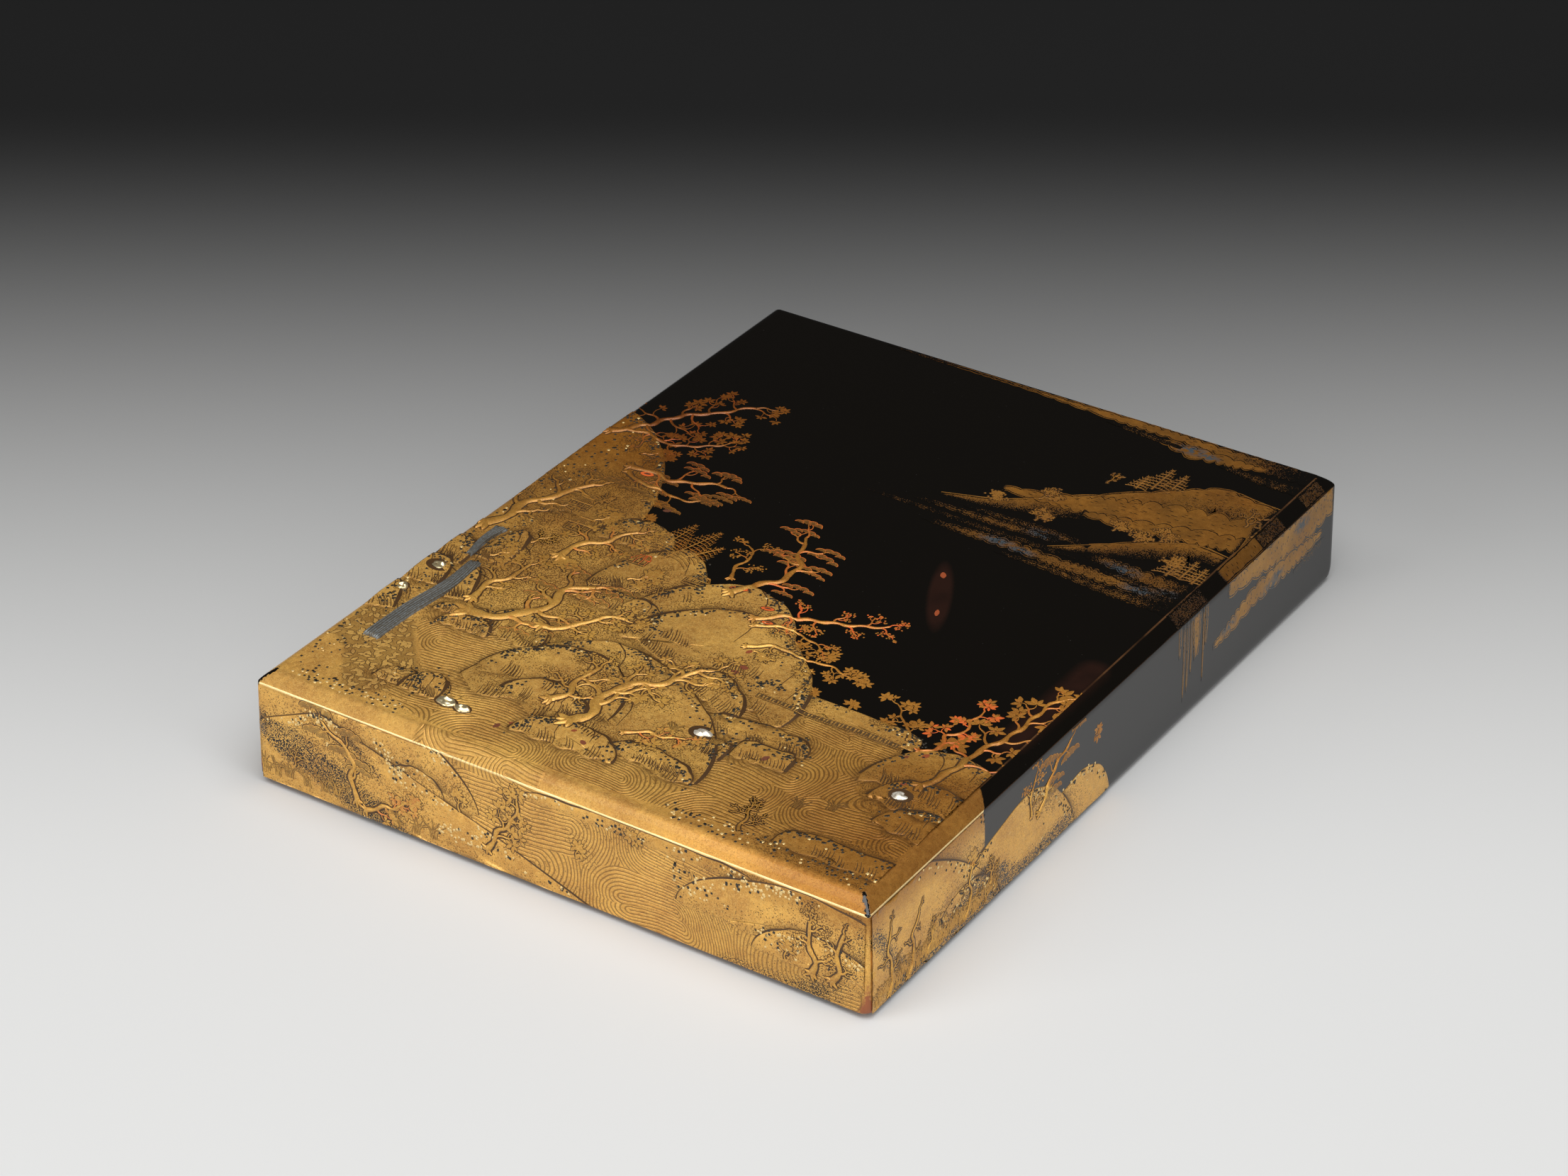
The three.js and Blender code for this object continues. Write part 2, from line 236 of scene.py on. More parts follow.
# %% The shared lacquer recipe
BLACK = (0.0034, 0.0026, 0.0018)
GOLD_DEEP = (0.58, 0.28, 0.062)
GOLD = (0.94, 0.53, 0.118)
GOLD_PALE = (0.92, 0.63, 0.20)
BROWN = (0.075, 0.032, 0.010)
RED = (0.58, 0.10, 0.018)
BLUE_GREY = (0.085, 0.105, 0.12)


def gold_colour(r, shade, light=0.5):
    """Gold with soft clouds and fine grains, darker and more orange towards the far left and the near right
    of the top, and brown where shade is near 1.
    """
    clouds = r.noise(14, 3)
    small = r.noise(1.6, 3, 0.6)
    tone = r.plus(r.times(clouds, 0.75), r.times(small, 0.45))
    base = r.mix(r.ramp(tone, 0.40, 0.80), GOLD_DEEP, GOLD)
    grain = r.cells(0.24, "Color")
    grain = r.add("ShaderNodeSeparateColor", {"Color": grain}).outputs[0]
    base = r.mix(r.ramp(grain, 0.62, 1.0, 0.0, light), base, GOLD_PALE)
    base = r.mix(r.ramp(grain, 0.0, 0.3, 0.3, 0.0), base, BROWN)
    x, y, z = r.parts(r.place)
    far_left = r.times(r.ramp(y, -75, 25), r.ramp(x, 10, -70))
    near_right = r.times(r.ramp(x, 10, 80, 0, 0.85), r.ramp(y, -40, -70))
    darker_far_left_near_right = r.times(r.plus(far_left, near_right), r.ramp(z, EDGE_Z - 8, EDGE_Z))
    base = r.mix(darker_far_left_near_right, base, (0.42, 0.29, 0.15), "MULTIPLY")
    return r.mix(shade, base, BROWN), grain, small


def lacquer(r, share, shade, height=None, colour=None, black=BLACK, light=0.5):
    """The finished shader: share is how much gold covers the black, and colour may tint that gold."""
    gold, grain, small = gold_colour(r, shade, light)
    if colour is not None:
        gold = colour(gold)
    relief = r.plus(r.times(grain, 0.25), small)
    if height is not None:
        relief = r.plus(relief, height)
    relief = r.times(relief, share)
    normal = r.bump(relief, 0.10, 0.8)
    return r.finish(
        Base_Color=r.mix(share, black, gold),
        Metallic=r.blend(share, 0.0, 0.6),
        Roughness=r.blend(share, 0.10, r.ramp(small, 0.3, 0.7, 0.36, 0.5)),
        Normal=normal,
        Specular_IOR_Level=0.4,
        Coat_Weight=0.12,
        Coat_Roughness=0.07,
    )


# %% [markdown]
# ## Places on the lid
# A face of the lid is drawn flat, in a along the face and b up it, and then laid on the lid.
# So the same picture code can draw on the top, on the slope round it, and on the walls.

# %% Laying a flat drawing on a face
SIDES = {"front": (0, -1), "right": (1, 0), "back": (0, 1), "left": (-1, 0)}


def lay(face, a, b, h):
    """Points of a face: a along it, b up it and h out of it, as an array of x, y, z in millimetres."""
    a, b, h = np.broadcast_arrays(np.asarray(a, float), b, h)
    if face == "top":
        return np.stack([a, b, TOP_Z + h], -1)
    side, part = face.split("_")
    ox, oy = SIDES[side]
    half = WIDTH / 2 if ox else LENGTH / 2
    if part == "wall":
        out, z = half + FLARE * (1 - b / WALL) + h, RIM_Z + b
    else:
        cos, sin = SLOPE_WIDE / SLOPE, SLOPE_HIGH / SLOPE
        bulge = SLOPE_BULGE * np.sin(np.pi * b / SLOPE)
        out = half - b * cos + (h + bulge) * sin
        z = EDGE_Z + b * sin + (h + bulge) * cos
    return np.stack([ox * out - oy * a, oy * out + ox * a, z], -1)


class Shapes:
    """Gathers many small shapes into one mesh."""

    def __init__(self):
        self.points, self.faces, self.values, self.count = [], [], {}, 0

    def add(self, points, faces, **values):
        points = np.asarray(points, float).reshape(-1, 3)
        self.points.append(points)
        self.faces += [tuple(i + self.count for i in face) for face in faces]
        for key, value in values.items():
            self.values.setdefault(key, []).append(np.broadcast_to(value, len(points)))
        self.count += len(points)

    def make(self, name, material):
        values = {key: np.concatenate(v) for key, v in self.values.items()}
        return add_mesh(name, np.concatenate(self.points), self.faces, material, values)


def add_mesh(name, points, faces, material, values=None):
    """Makes a piece of the box from points in millimetres."""
    mesh = bpy.data.meshes.new(name)
    mesh.from_pydata((np.asarray(points) * MM).tolist(), [], faces)
    for key, value in (values or {}).items():
        value = np.asarray(value, np.float32)
        kind, field = ("FLOAT", "value") if value.ndim == 1 else ("FLOAT_VECTOR", "vector")
        mesh.attributes.new(key, kind, "POINT").data.foreach_set(field, value.ravel())
    mesh.shade_smooth()
    mesh.materials.append(material)
    piece = show(name, mesh)
    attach(piece, "root")
    print(name, len(mesh.polygons), "faces")
    return piece


def grid_faces(rows, columns):
    """The faces of a grid of points, given row by row."""
    return [
        (i * columns + j, (i + 1) * columns + j, (i + 1) * columns + j + 1, i * columns + j + 1)
        for i in range(rows - 1)
        for j in range(columns - 1)
    ]


def sideways(path):
    """The unit direction to the left of a path, at each of its points."""
    run = np.gradient(path, axis=0)
    return np.column_stack([-run[:, 1], run[:, 0]]) / (np.hypot(*run.T)[:, None] + 1e-9)


def resample(path, pitch, least):
    """Even points about a pitch apart, how far along each lies, and the same for the path's own points."""
    far = np.concatenate([[0], np.cumsum(np.hypot(*np.diff(path, axis=0).T))])
    s = np.linspace(0, far[-1], max(least, int(far[-1] / pitch)))
    return np.column_stack([np.interp(s, far, path[:, 0]), np.interp(s, far, path[:, 1])]), s, far


# %% [markdown]
# ## Hills and rocks
# Each hill is one rule: a base line, the place of its crest, how high it rises and how boxy its back is.
# Hills are laid one over another like scales, and the rule for a height is shared by everything that
# later stands on them.

# %% Outlines and distances
CREST_STEPS = 38
FOOT_POINTS = 39


def hill_outline(start, end, crest, rise, full, wobble, seed):
    """A hill's edge, over the crest from start to end and back along the scalloped foot."""
    start, end = np.array(start, float), np.array(end, float)
    along = end - start
    length = np.hypot(*along)
    along = along / length
    up = np.array([-along[1], along[0]])
    turn = np.linspace(-np.pi / 2, np.pi / 2, 2 * CREST_STEPS + 1)
    reach = np.sign(turn) * np.abs(np.sin(turn)) ** (2 / full)
    high = np.maximum(np.cos(turn), 0) ** (2 / full) * rise
    s = crest + reach * np.where(turn < 0, crest, 1 - crest)
    wave = np.sin(turn * 9 + seed) + 0.6 * np.sin(turn * 17 + 2.3 * seed)
    high = high + wobble * wave * np.cos(turn)
    bottom_s = np.linspace(1, 0, FOOT_POINTS + 2)[1:-1]
    scallop = np.abs(np.sin(4 * np.pi * bottom_s + 0.3 * seed))
    bottom = -min(0.05 * length, 0.1 * rise) * scallop * (1 + 0.3 * np.sin(23 * bottom_s + seed))
    s = np.concatenate([s, bottom_s]) * length
    high = np.concatenate([high, bottom])
    return start + s[:, None] * along + high[:, None] * up


def inside_distance(points, outline, reach=4.0):
    """Millimetres from each point to a closed outline: above 0 inside, and no less than -reach outside."""
    points = np.asarray(points, float)
    result = np.full(len(points), -reach)
    low, high = outline.min(0) - reach, outline.max(0) + reach
    near = np.flatnonzero(((points > low) & (points < high)).all(1))
    if not len(near):
        return result
    p = points[near]
    best, inside = np.full(len(p), 1e9), np.zeros(len(p), bool)
    for a, b in zip(outline, np.roll(outline, -1, 0)):
        edge = b - a
        t = np.clip(((p - a) @ edge) / max(edge @ edge, 1e-12), 0, 1)
        best = np.minimum(best, ((p - a - t[:, None] * edge) ** 2).sum(1))
        if a[1] != b[1]:
            crosses = (a[1] > p[:, 1]) != (b[1] > p[:, 1])
            inside ^= crosses & (p[:, 0] < a[0] + (p[:, 1] - a[1]) * edge[0] / edge[1])
    best = np.sqrt(best)
    result[near] = np.where(inside, best, np.maximum(-best, -reach))
    return result


def how_far_up(hill, points):
    """0 on the hill's base line, 1 at its crest."""
    return ((points - hill["base"]) @ hill["up"]) / hill["rise"]


def hill_height(hill, points, distance):
    """A hill's surface: a round edge, then a slight dome. It sinks into the ground towards its foot."""
    edge = np.sqrt(1 - (1 - np.clip(distance / 0.8, 0, 1)) ** 2)
    share = np.clip((how_far_up(hill, points) + 0.1) / 0.7, 0, 1)
    lift = hill["lift"] * (0.3 + 0.7 * share * share * (3 - 2 * share))
    return np.where(distance > 0, lift * edge + 0.25 * (1 - np.exp(-np.maximum(distance, 0) / 5)), 0)


# %% The hills, from the back of the picture to the front
# start and end of the base line, place of the crest, rise, how full the back is, and lift
PERCENT_HILLS = [
    ((-139.6, -9.6), (-56.2, -9.6), 0.49, 44.8, 1.65, 0.35),
    ((-64.6, -14.4), (-39.6, -14.4), 0.45, 10.4, 2.2, 0.45),
    ((-51, -32), (-16.7, -27.2), 0.6, 20, 1.6, 0.5),
    ((18.8, -49.6), (72.9, -49.6), 0.45, 6, 5, 0.35),
    ((-35.4, -39.2), (20.8, -46.4), 0.44, 28, 1.9, 0.65),
    ((-49, -38.4), (-18.8, -40), 0.5, 7.2, 2, 0.5),
    ((-28.1, -44), (36.5, -56.8), 0.4, 24.8, 1.9, 0.85),
    ((-3.1, -52.8), (24, -60.8), 0.36, 8.8, 1.9, 1.0),
    ((14.6, -65.6), (50, -64), 0.55, 6.4, 3, 0.4),
    ((21.9, -74.4), (31.2, -74.4), 0.5, 6.4, 5, 0.5),
    ((31.9, -71.2), (49, -70.4), 0.5, 6.4, 6, 0.45),
    ((-52.1, -76.8), (32.3, -84), 0.34, 30.4, 1.8, 0.55),
    ((-51, -71.2), (-4.2, -75.2), 0.52, 17.6, 1.9, 0.75),
    ((-38.5, -76.8), (-10.4, -79.2), 0.5, 8.8, 2, 0.9),
    ((2.1, -83.2), (31.2, -84.8), 0.4, 5.6, 2.2, 0.7),
    ((-25, -88), (8.3, -87.2), 0.42, 8.4, 2.1, 0.8),
    ((-64.6, -59.2), (-41.7, -61.6), 0.4, 11.2, 2, 0.5),
    ((-79.2, -59.2), (-60.4, -58.4), 0.6, 4.8, 2, 0.6),
    ((-74.5, -63.2), (-57.3, -62.4), 0.55, 5.6, 2, 0.75),
    ((-71.9, -87.6), (-56.2, -87.6), 0.45, 5.6, 2.2, 0.6),
    ((-62.5, -88), (-50, -88), 0.5, 8, 2.4, 0.75),
    ((-86.5, -36.8), (-76, -36.8), 0.45, 14.4, 2.2, 0.6),
    ((-101, -41.6), (-87, -41.6), 0.5, 10.4, 2.4, 0.6),
    ((-101, -52.8), (-85.4, -51.2), 0.6, 11.2, 2.4, 0.75),
    ((-101, -67.2), (-88.5, -64), 0.6, 12, 2.2, 0.6),
    ((-80.2, -54.4), (-73.4, -52.8), 0.5, 13.6, 2.4, 0.5),
    ((66.1, -62.4), (112.5, -65.6), 0.36, 17.6, 2, 0.6),
    ((72.9, -68), (108.3, -70.4), 0.4, 10.4, 2.2, 0.8),
    ((80.2, -75.2), (112.5, -77.6), 0.4, 8.8, 2.2, 0.6),
    ((63.5, -92), (108.3, -92), 0.4, 6.4, 3.5, 0.4),
]
WALL_HILLS = {
    "front_wall": [
        ((-76, 13), (-23, 15), 0.16, 26, 1.7, 0.16),
        ((-52, 14), (-34, 14.5), 0.45, 8, 2.2, 0.2),
        ((-8, 26), (62, 26), 0.5, 3.6, 4, 0.12),
        ((39, 13), (118, 12), 0.5, 17, 1.8, 0.16),
        ((62, 8), (104, 7), 0.42, 11, 1.7, 0.22),
        ((-140, -3), (16, -1.5), 0.42, 30, 1.05, 0.2),
    ],
    "right_wall": [
        ((-104, 19), (-70, 19), 0.5, 16, 4, 0.1),
        ((-46, -3), (-5, -3), 0.62, 17, 2.1, 0.14),
        ((-97, -3), (-24, -3), 0.68, 25.5, 1.7, 0.16),
        ((-150, -4), (-62, -4), 0.36, 40, 1.55, 0.2),
        ((-101, -3), (-62, -3), 0.55, 16, 1.9, 0.22),
    ],
    "left_wall": [
        ((-34, -3), (42, -3), 0.66, 13, 1.5, 0.12),
        ((2, -3), (84, -3), 0.6, 22, 1.5, 0.16),
        ((88, 6), (140, 8), 0.4, 17, 1.9, 0.14),
        ((56, -4), (150, -4), 0.42, 21, 1.7, 0.2),
    ],
    "back_wall": [((36, -3), (110, -3), 0.7, 21, 1.7, 0.14), ((10, -3), (74, -3), 0.6, 12, 1.5, 0.18)],
}


def of_cover(place):
    """A place in per cent of the cover's half width and half length, in millimetres."""
    return (place[0] / 100 * WIDTH / 2, place[1] / 100 * LENGTH / 2)


def make_hill(number, start, end, crest, rise, full, lift, wobble):
    outline = hill_outline(start, end, crest, rise, full, wobble, number)
    base = np.array(start) + crest * (np.array(end) - np.array(start))
    along = np.array(end, float) - start
    up = np.array([-along[1], along[0]]) / np.hypot(*along)
    return {"outline": outline, "base": base, "up": up, "rise": rise, "lift": lift, "number": number}


HILLS = {"top": []}
for i, (start, end, crest, rise, full, lift) in enumerate(PERCENT_HILLS):
    start, end, rise = of_cover(start), of_cover(end), rise / 100 * LENGTH / 2
    HILLS["top"].append(make_hill(i, start, end, crest, rise, full, lift, 0.3))
for face, rows in WALL_HILLS.items():
    HILLS[face] = [make_hill(i, *row, 0.15) for i, row in enumerate(rows)]


def relief(face, points):
    """How far the picture stands off the face at each point (a, b)."""
    points = np.asarray(points, float).reshape(-1, 2)
    high = np.zeros(len(points))
    for hill in HILLS.get(face, ()):
        distance = inside_distance(points, hill["outline"])
        high = np.maximum(high, hill_height(hill, points, distance))
    return high


def shadow(face, points, above=0.0):
    """Painted shadow, partly dirt: brown along the foot of every hill that stands higher, 0 none, 1 deepest.
    """
    dark = np.zeros(len(points))
    for hill in HILLS.get(face, ()):
        if hill["lift"] > above:
            distance = inside_distance(points, hill["outline"])
            dark = np.maximum(dark, np.where(distance < 0, np.exp(distance / 1.1), 0) * (distance > -4))
    return dark


def valley_dust(face, points, number=-1):
    """Brown dust behind every hill that lies nearer than this one: 0 none, 1 deepest."""
    deep = np.zeros(len(points))
    for hill in HILLS.get(face, ())[number + 1 :]:
        distance = inside_distance(points, hill["outline"], 9.0)
        deep = np.maximum(deep, np.where((distance < 0) & (distance > -9), np.exp(distance / 3.4), 0))
    return deep


FOLIAGE = {face: [] for face in HILLS}


def leaf_dust(face, points):
    """Brown dust on the ground behind leaves, gathered from every tuft that has been drawn."""
    deep = np.zeros(len(points))
    for a, b, size in FOLIAGE.get(face, ()):
        near = np.flatnonzero(np.abs(points[:, 0] - a) < 2 * size)
        away = np.hypot(points[near, 0] - a, points[near, 1] - b) / size
        deep[near] = np.maximum(deep[near], np.clip(1.9 - away, 0, 1))
    return deep


def to_line(points, start, end):
    """Distance of points from the line between start and end."""
    edge = np.array(end, float) - start
    t = np.clip(((points - start) @ edge) / (edge @ edge), 0, 1)
    return np.hypot(*(points - start - t[:, None] * edge).T)


def thin_powder(face, points):
    """How dense the gold lies: 1 nearly everywhere, and less in the dusky hollows low on the walls."""
    hollows = {
        "front_wall": [
            ((-99, 19), (-84, 14), 5, 0.62), ((-84, 14), (-52, 1), 6, 0.74), ((-66, 24), (-56, 15), 2.5, 0.5),
            ((84, 2), (97, 24), 7, 0.4), ((55, 0), (80, 1), 4, 0.4),
        ],
        "right_wall": [
            ((-112, 0), (-62, 4), 6, 0.7), ((-84, 5), (-70, 9), 5, 0.66), ((-60, 0), (-28, 2), 4.5, 0.55),
            ((-122, 22), (-112, 8), 4, 0.5),
        ],
    }
    dense = np.ones(len(points))
    for start, end, wide, deep in hollows.get(face, ()):
        dense -= deep * np.exp(-((to_line(points, start, end) / wide) ** 3))
    return np.clip(dense, 0.5, 1)


# %% Building the hills
WALL_SHADE = 0.12
EDGE_RINGS = (0.0, 0.05, 0.14, 0.28, 0.5, 0.8, 1.3, 2.1)
INNER_RINGS = (0.3, 0.37, 0.44, 0.51, 0.58, 0.65, 0.72, 0.79, 0.86)
LIMITS = {"top": (-FLAT_X - 0.3, FLAT_X + 0.3, -FLAT_Y, FLAT_Y)}
for face in WALL_HILLS:
    half = (WIDTH if face in ("front_wall", "back_wall") else LENGTH) / 2 - 0.8
    LIMITS[face] = (-half, half, 0.4, WALL - 0.3)


def hill_shape(shapes, face, hill):
    """Rings of points from the outline in to the middle, raised by the shared rule."""
    outline = hill["outline"]
    middle = hill["base"] + hill["up"] * hill["rise"] * 0.4
    reach = np.hypot(*(middle - outline).T)
    rings = [outline + (middle - outline) * (d / reach)[:, None] for d in EDGE_RINGS]
    last = np.minimum(EDGE_RINGS[-1] / reach, 0.3)
    for t in INNER_RINGS:
        share = last + (1 - last) * (t - 0.3) / 0.7 + 0.12
        rings.append(outline + (middle - outline) * np.minimum(share, 0.97)[:, None])
    flat = np.concatenate(rings + [middle[None]])
    low_a, high_a, low_b, high_b = LIMITS[face]
    flat = np.clip(flat, (low_a, low_b), (high_a, high_b))
    distance = np.maximum(inside_distance(flat, outline), 0)
    high = hill_height(hill, flat, distance)
    count = len(outline)
    faces = [
        (k * count + i, k * count + (i + 1) % count, (k + 1) * count + (i + 1) % count, (k + 1) * count + i)
        for k in range(len(rings) - 1)
        for i in range(count)
    ]
    tip = len(flat) - 1
    start = (len(rings) - 1) * count
    faces += [(start + i, start + (i + 1) % count, tip) for i in range(count)]
    faces = [face_[::-1] for face_ in faces]
    points = lay(face, flat[:, 0], flat[:, 1], high - 0.02)
    dust = np.maximum(valley_dust(face, flat, hill["number"]), 0.85 * leaf_dust(face, flat))
    values = {"up": how_far_up(hill, flat), "edge": distance, "dense": thin_powder(face, flat), "dust": dust}
    shade = np.maximum(shadow(face, flat, hill["lift"]), 0.0 if face == "top" else WALL_SHADE)
    shapes.add(points, faces, shade=shade, **values)


# %% [markdown]
# ## Ground, water and dusk
# Before any line is drawn, the top is parted into broad areas: gold ground at the near left, the water that
# runs over it, a dusky valley between the hills, and a bank of leaves. All the rest stays black.

# %% Regions of the flat top, as plain outlines in millimetres
GOLD_GROUND = [
    (-99, -8), (-56, -9), (-45, -13), (-20, -34), (14, -58), (66, -60), (70, -72), (99, -84), (99, -128),
    (-99, -128),
]
WATER = [
    (-75, -77), (-72, -70), (-40, -66), (0, -80), (18, -70), (20, -60), (66, -60), (66, -84), (80, -95),
    (93, -98), (93, -104), (66, -106), (58, -114), (40, -117), (10, -119.5), (-44, -119.5), (-54, -117),
    (-63, -113), (-62, -106), (-60, -100), (-66, -93), (-74, -84),
]
DUSKY = [
    (-88, 4), (-66, 2), (-50, -10), (-30, -20), (-26, -34), (-34, -44), (-26, -58), (-40, -70), (-58, -74),
    (-72, -62), (-76, -44), (-84, -26),
]
LEAFY = [
    (-92, -82), (-76, -82), (-73, -86), (-66, -94), (-60, -101), (-62, -108), (-60, -113), (-66, -117.5),
    (-73, -118), (-78, -111), (-84, -103), (-92, -98),
]
REGIONS = {"gold": GOLD_GROUND, "water": WATER, "leafy": LEAFY, "dusky": DUSKY}


# %% [markdown]
# ## Drawing with raised lines
# Trees, leaves and needles are lines of lacquer built up and dusted with gold. Each is drawn flat on its
# face first. Its height is added to whatever hill lies below, so a branch climbs over a rock's edge.
# Under each line lies a slightly wider brown one: a painted shadow round the line on gold ground, partly a
# dark outline.

# %% A drawing on one face
def smooth(path, times=2):
    """Cuts a path's corners so that it bends softly."""
    path = np.asarray(path, float)
    for _ in range(times):
        near, far = path[:-1] * 0.75 + path[1:] * 0.25, path[:-1] * 0.25 + path[1:] * 0.75
        path = np.concatenate([path[:1], np.stack([near, far], 1).reshape(-1, 2), path[-1:]])
    return path


class Drawing(Shapes):
    """Shapes drawn flat on one face, each with a height over what is below it."""

    def __init__(self, face, under=None):
        super().__init__()
        self.face, self.under = face, under

    def draw(self, flat, high, faces, **values):
        """red above 0 is red, and dark runs from -1, pale gold, to 1, black."""
        values = {"red": 0.0, "dark": 0.0, **values}
        self.add(np.column_stack([flat, np.broadcast_to(high, len(flat))]), faces, **values)

    def line(self, path, wide, high=0.22, halo=0.36, **values):
        """A half-round line along path. wide is one width, or a few to pass through on the way."""
        path, wide = np.asarray(path, float), np.atleast_1d(wide)
        wide = np.interp(np.linspace(0, 1, len(path)), np.linspace(0, 1, len(wide)), wide)
        across = np.array([-1, -0.6, 0, 0.6, 1]) if wide.max() > 0.6 else np.array([-1, 0, 1])
        flat = path[:, None] + sideways(path)[:, None] * wide[:, None, None] / 2 * across[:, None]
        round_top = np.sqrt(1 - across**2) * np.minimum(wide, 1.4)[:, None] * high / 0.7 + 0.02
        faces = grid_faces(len(path), len(across))
        self.draw(flat.reshape(-1, 2), round_top.ravel(), faces, **values)
        # The wider brown line below is painted shadow round the raised line, partly a dark outline.
        if self.under and halo:
            self.under.strip(path - [0, 0.08], wide + 2 * halo)

    def strip(self, path, wide, high=0.012, **values):
        """A flat ribbon."""
        step = sideways(path) * np.broadcast_to(wide, len(path))[:, None] / 2
        flat = np.stack([path - step, path + step], 1).reshape(-1, 2)
        faces = [(2 * i, 2 * i + 2, 2 * i + 3, 2 * i + 1) for i in range(len(path) - 1)]
        self.draw(flat, high, faces, **values)

    def dome(self, at, angle, long, wide, high=0.12, rim=8, point=0.0, halo=0.22, **values):
        """A small raised oval. point near 1 makes it a leaf with a tip."""
        turn = np.arange(rim) * 2 * np.pi / rim
        across = np.sin(turn) * (1 - point * np.abs(np.cos(turn)) ** 1.5)
        cos, sin = math.cos(angle), math.sin(angle)
        shape = np.column_stack([np.cos(turn) * long / 2, across * wide / 2])
        flat = shape @ np.array([[cos, sin], [-sin, cos]]) + at
        faces = [(i, (i + 1) % rim, rim) for i in range(rim)]
        high = np.append(np.full(rim, 0.02), high + 0.02)
        self.draw(np.vstack([flat, at]), high, faces, **values)
        # The wider brown oval below is painted shadow round the dome, partly a dark outline.
        if self.under and halo:
            self.under.dome(at, angle, long + 2 * halo, wide + 2 * halo, 0.0, rim, point, 0)

    def leaf(self, foot, angle, long, wide, **values):
        """A leaf that grows from its foot."""
        middle = np.array(foot) + long / 2 * np.array([math.cos(angle), math.sin(angle)])
        self.dome(middle, angle, long, wide, point=0.55, **values)

    def square(self, at, angle, size, high=0.05, **values):
        """A little square cut from metal leaf."""
        turn = angle + np.pi / 4 + np.arange(4) * np.pi / 2
        top = at + size * 0.7 * np.column_stack([np.cos(turn), np.sin(turn)])
        low = at + size * 0.78 * np.column_stack([np.cos(turn), np.sin(turn)])
        faces = [(0, 1, 2, 3)] + [(i + 4, (i + 1) % 4 + 4, (i + 1) % 4, i) for i in range(4)]
        self.draw(np.vstack([top, low]), np.repeat((high, 0.0), 4), faces, **values)


def is_gold(face, flat, high):
    """Where the ground under a drawing is gold, not black."""
    if face == "top":
        return (high > 0) | (inside_distance(flat, np.array(GOLD_GROUND, float)) > 0)
    return (high > 0) | (face == "front_wall")


def make_drawings(name, drawings, material, only_on_gold=False, lift=0.0):
    """Lays drawings from several faces on their relief, as one mesh."""
    shapes = Shapes()
    for drawing in drawings:
        if not drawing.count:
            continue
        flat = np.concatenate(drawing.points)
        low_a, high_a, low_b, high_b = LIMITS[drawing.face]
        flat[:, 0] = np.clip(flat[:, 0], low_a, high_a)
        flat[:, 1] = np.clip(flat[:, 1], low_b, high_b)
        below = relief(drawing.face, flat[:, :2])
        faces = drawing.faces
        if only_on_gold:
            keep = is_gold(drawing.face, flat[:, :2], below)
            faces = [face for face in faces if all(keep[i] for i in face)]
        points = lay(drawing.face, flat[:, 0], flat[:, 1], below + flat[:, 2] + lift)
        values = {key: np.concatenate(v) for key, v in drawing.values.items()}
        on_black = 1.0 - is_gold(drawing.face, flat[:, :2], below)
        shapes.add(points, faces, on_black=on_black, **values)
    return shapes.make(name, material)


# Brown lines under the picture: painted shadow round raised lines and beside the crests, partly outlines, and
# drawn strokes.
lines_and_shadows = {face: Drawing(face) for face in HILLS}
art = {face: Drawing(face, under) for face, under in lines_and_shadows.items()}

# %% [markdown]
# ## Trees
# A tree grows by one rule used again and again: a limb wanders, thins, and sends out shorter limbs.
# What sits on the last twigs makes the kind: leaves, dots of blossom, or flat pads of pine needles.

# %% Twig ends
def way(angle):
    """The unit direction at an angle."""
    return np.array([math.cos(angle), math.sin(angle)])


def leaf_tuft(draw, rng, at, heading, size, red):
    """Five or six leaves spread round the end of a twig."""
    FOLIAGE[draw.face].append((*(at + way(heading) * size * 0.4), size * 1.1))
    count = rng.randint(4, 6)
    for k in range(count):
        turn = heading + (k - (count - 1) / 2) * 0.9 + rng.uniform(-0.15, 0.15)
        long = size * rng.uniform(0.75, 1.1)
        draw.leaf(at + way(turn) * 0.2, turn, long, long * 0.5, red=red * rng.random() * 0.6)


def dot_tuft(draw, rng, at, _heading, size, red):
    """A little cloud of round blossom."""
    FOLIAGE[draw.face].append((*at, size * 1.1))
    for _ in range(11):
        spread = way(rng.uniform(0, 6.3)) * rng.uniform(0.1, 1) * (size * 1.05, size * 0.7)
        draw.dome(at + spread, 0, 0.62, 0.62, 0.1, 6, halo=0.2, red=red * rng.uniform(-0.2, 0.8))


def pine_pad(draw, rng, at, _heading, size, red):
    """A level cloud of needles: round fans side by side, each with a rim and spokes."""
    FOLIAGE[draw.face].append((*at, size * 0.9))
    lobes = rng.choice((3, 3, 4))
    level = rng.uniform(-0.2, 0.15)
    for k in range(lobes):
        u = k - (lobes - 1) / 2
        radius = size * (0.42 - 0.05 * abs(u))
        centre = at + way(level) * u * size * 0.5 - np.array([0, 0.07 * size * u * u])
        turn = np.linspace(-0.25, np.pi + 0.25, 13)
        rim = centre + radius * np.column_stack([np.cos(turn), 0.8 * np.sin(turn)])
        faces = [(i, i + 1, 13) for i in range(12)]
        fill = np.append(np.full(13, 0.03), 0.12)
        draw.draw(np.vstack([rim, centre]), fill, faces, red=red * 0.3, dark=0.5)
        # A brown strip under the rim: painted shadow below the pad, partly an outline.
        if draw.under:
            draw.under.strip(rim, 0.75)
        draw.line(smooth(rim, 1), 0.26, 0.2, 0, red=red)
        for angle in np.linspace(0.15, np.pi - 0.15, 6):
            tip = centre + radius * 0.82 * np.array([math.cos(angle), 0.8 * math.sin(angle)])
            draw.line([centre, tip], (0.16, 0.24), 0.22, 0, red=red * rng.uniform(0, 0.6))


# for each kind, what sits on a twig's end and how large it is
TUFTS = {
    "leafy": (leaf_tuft, 2.2),
    "dotted": (dot_tuft, 1.9),
    "pine": (pine_pad, 4.4),
    "broad": (leaf_tuft, 3.4),
}


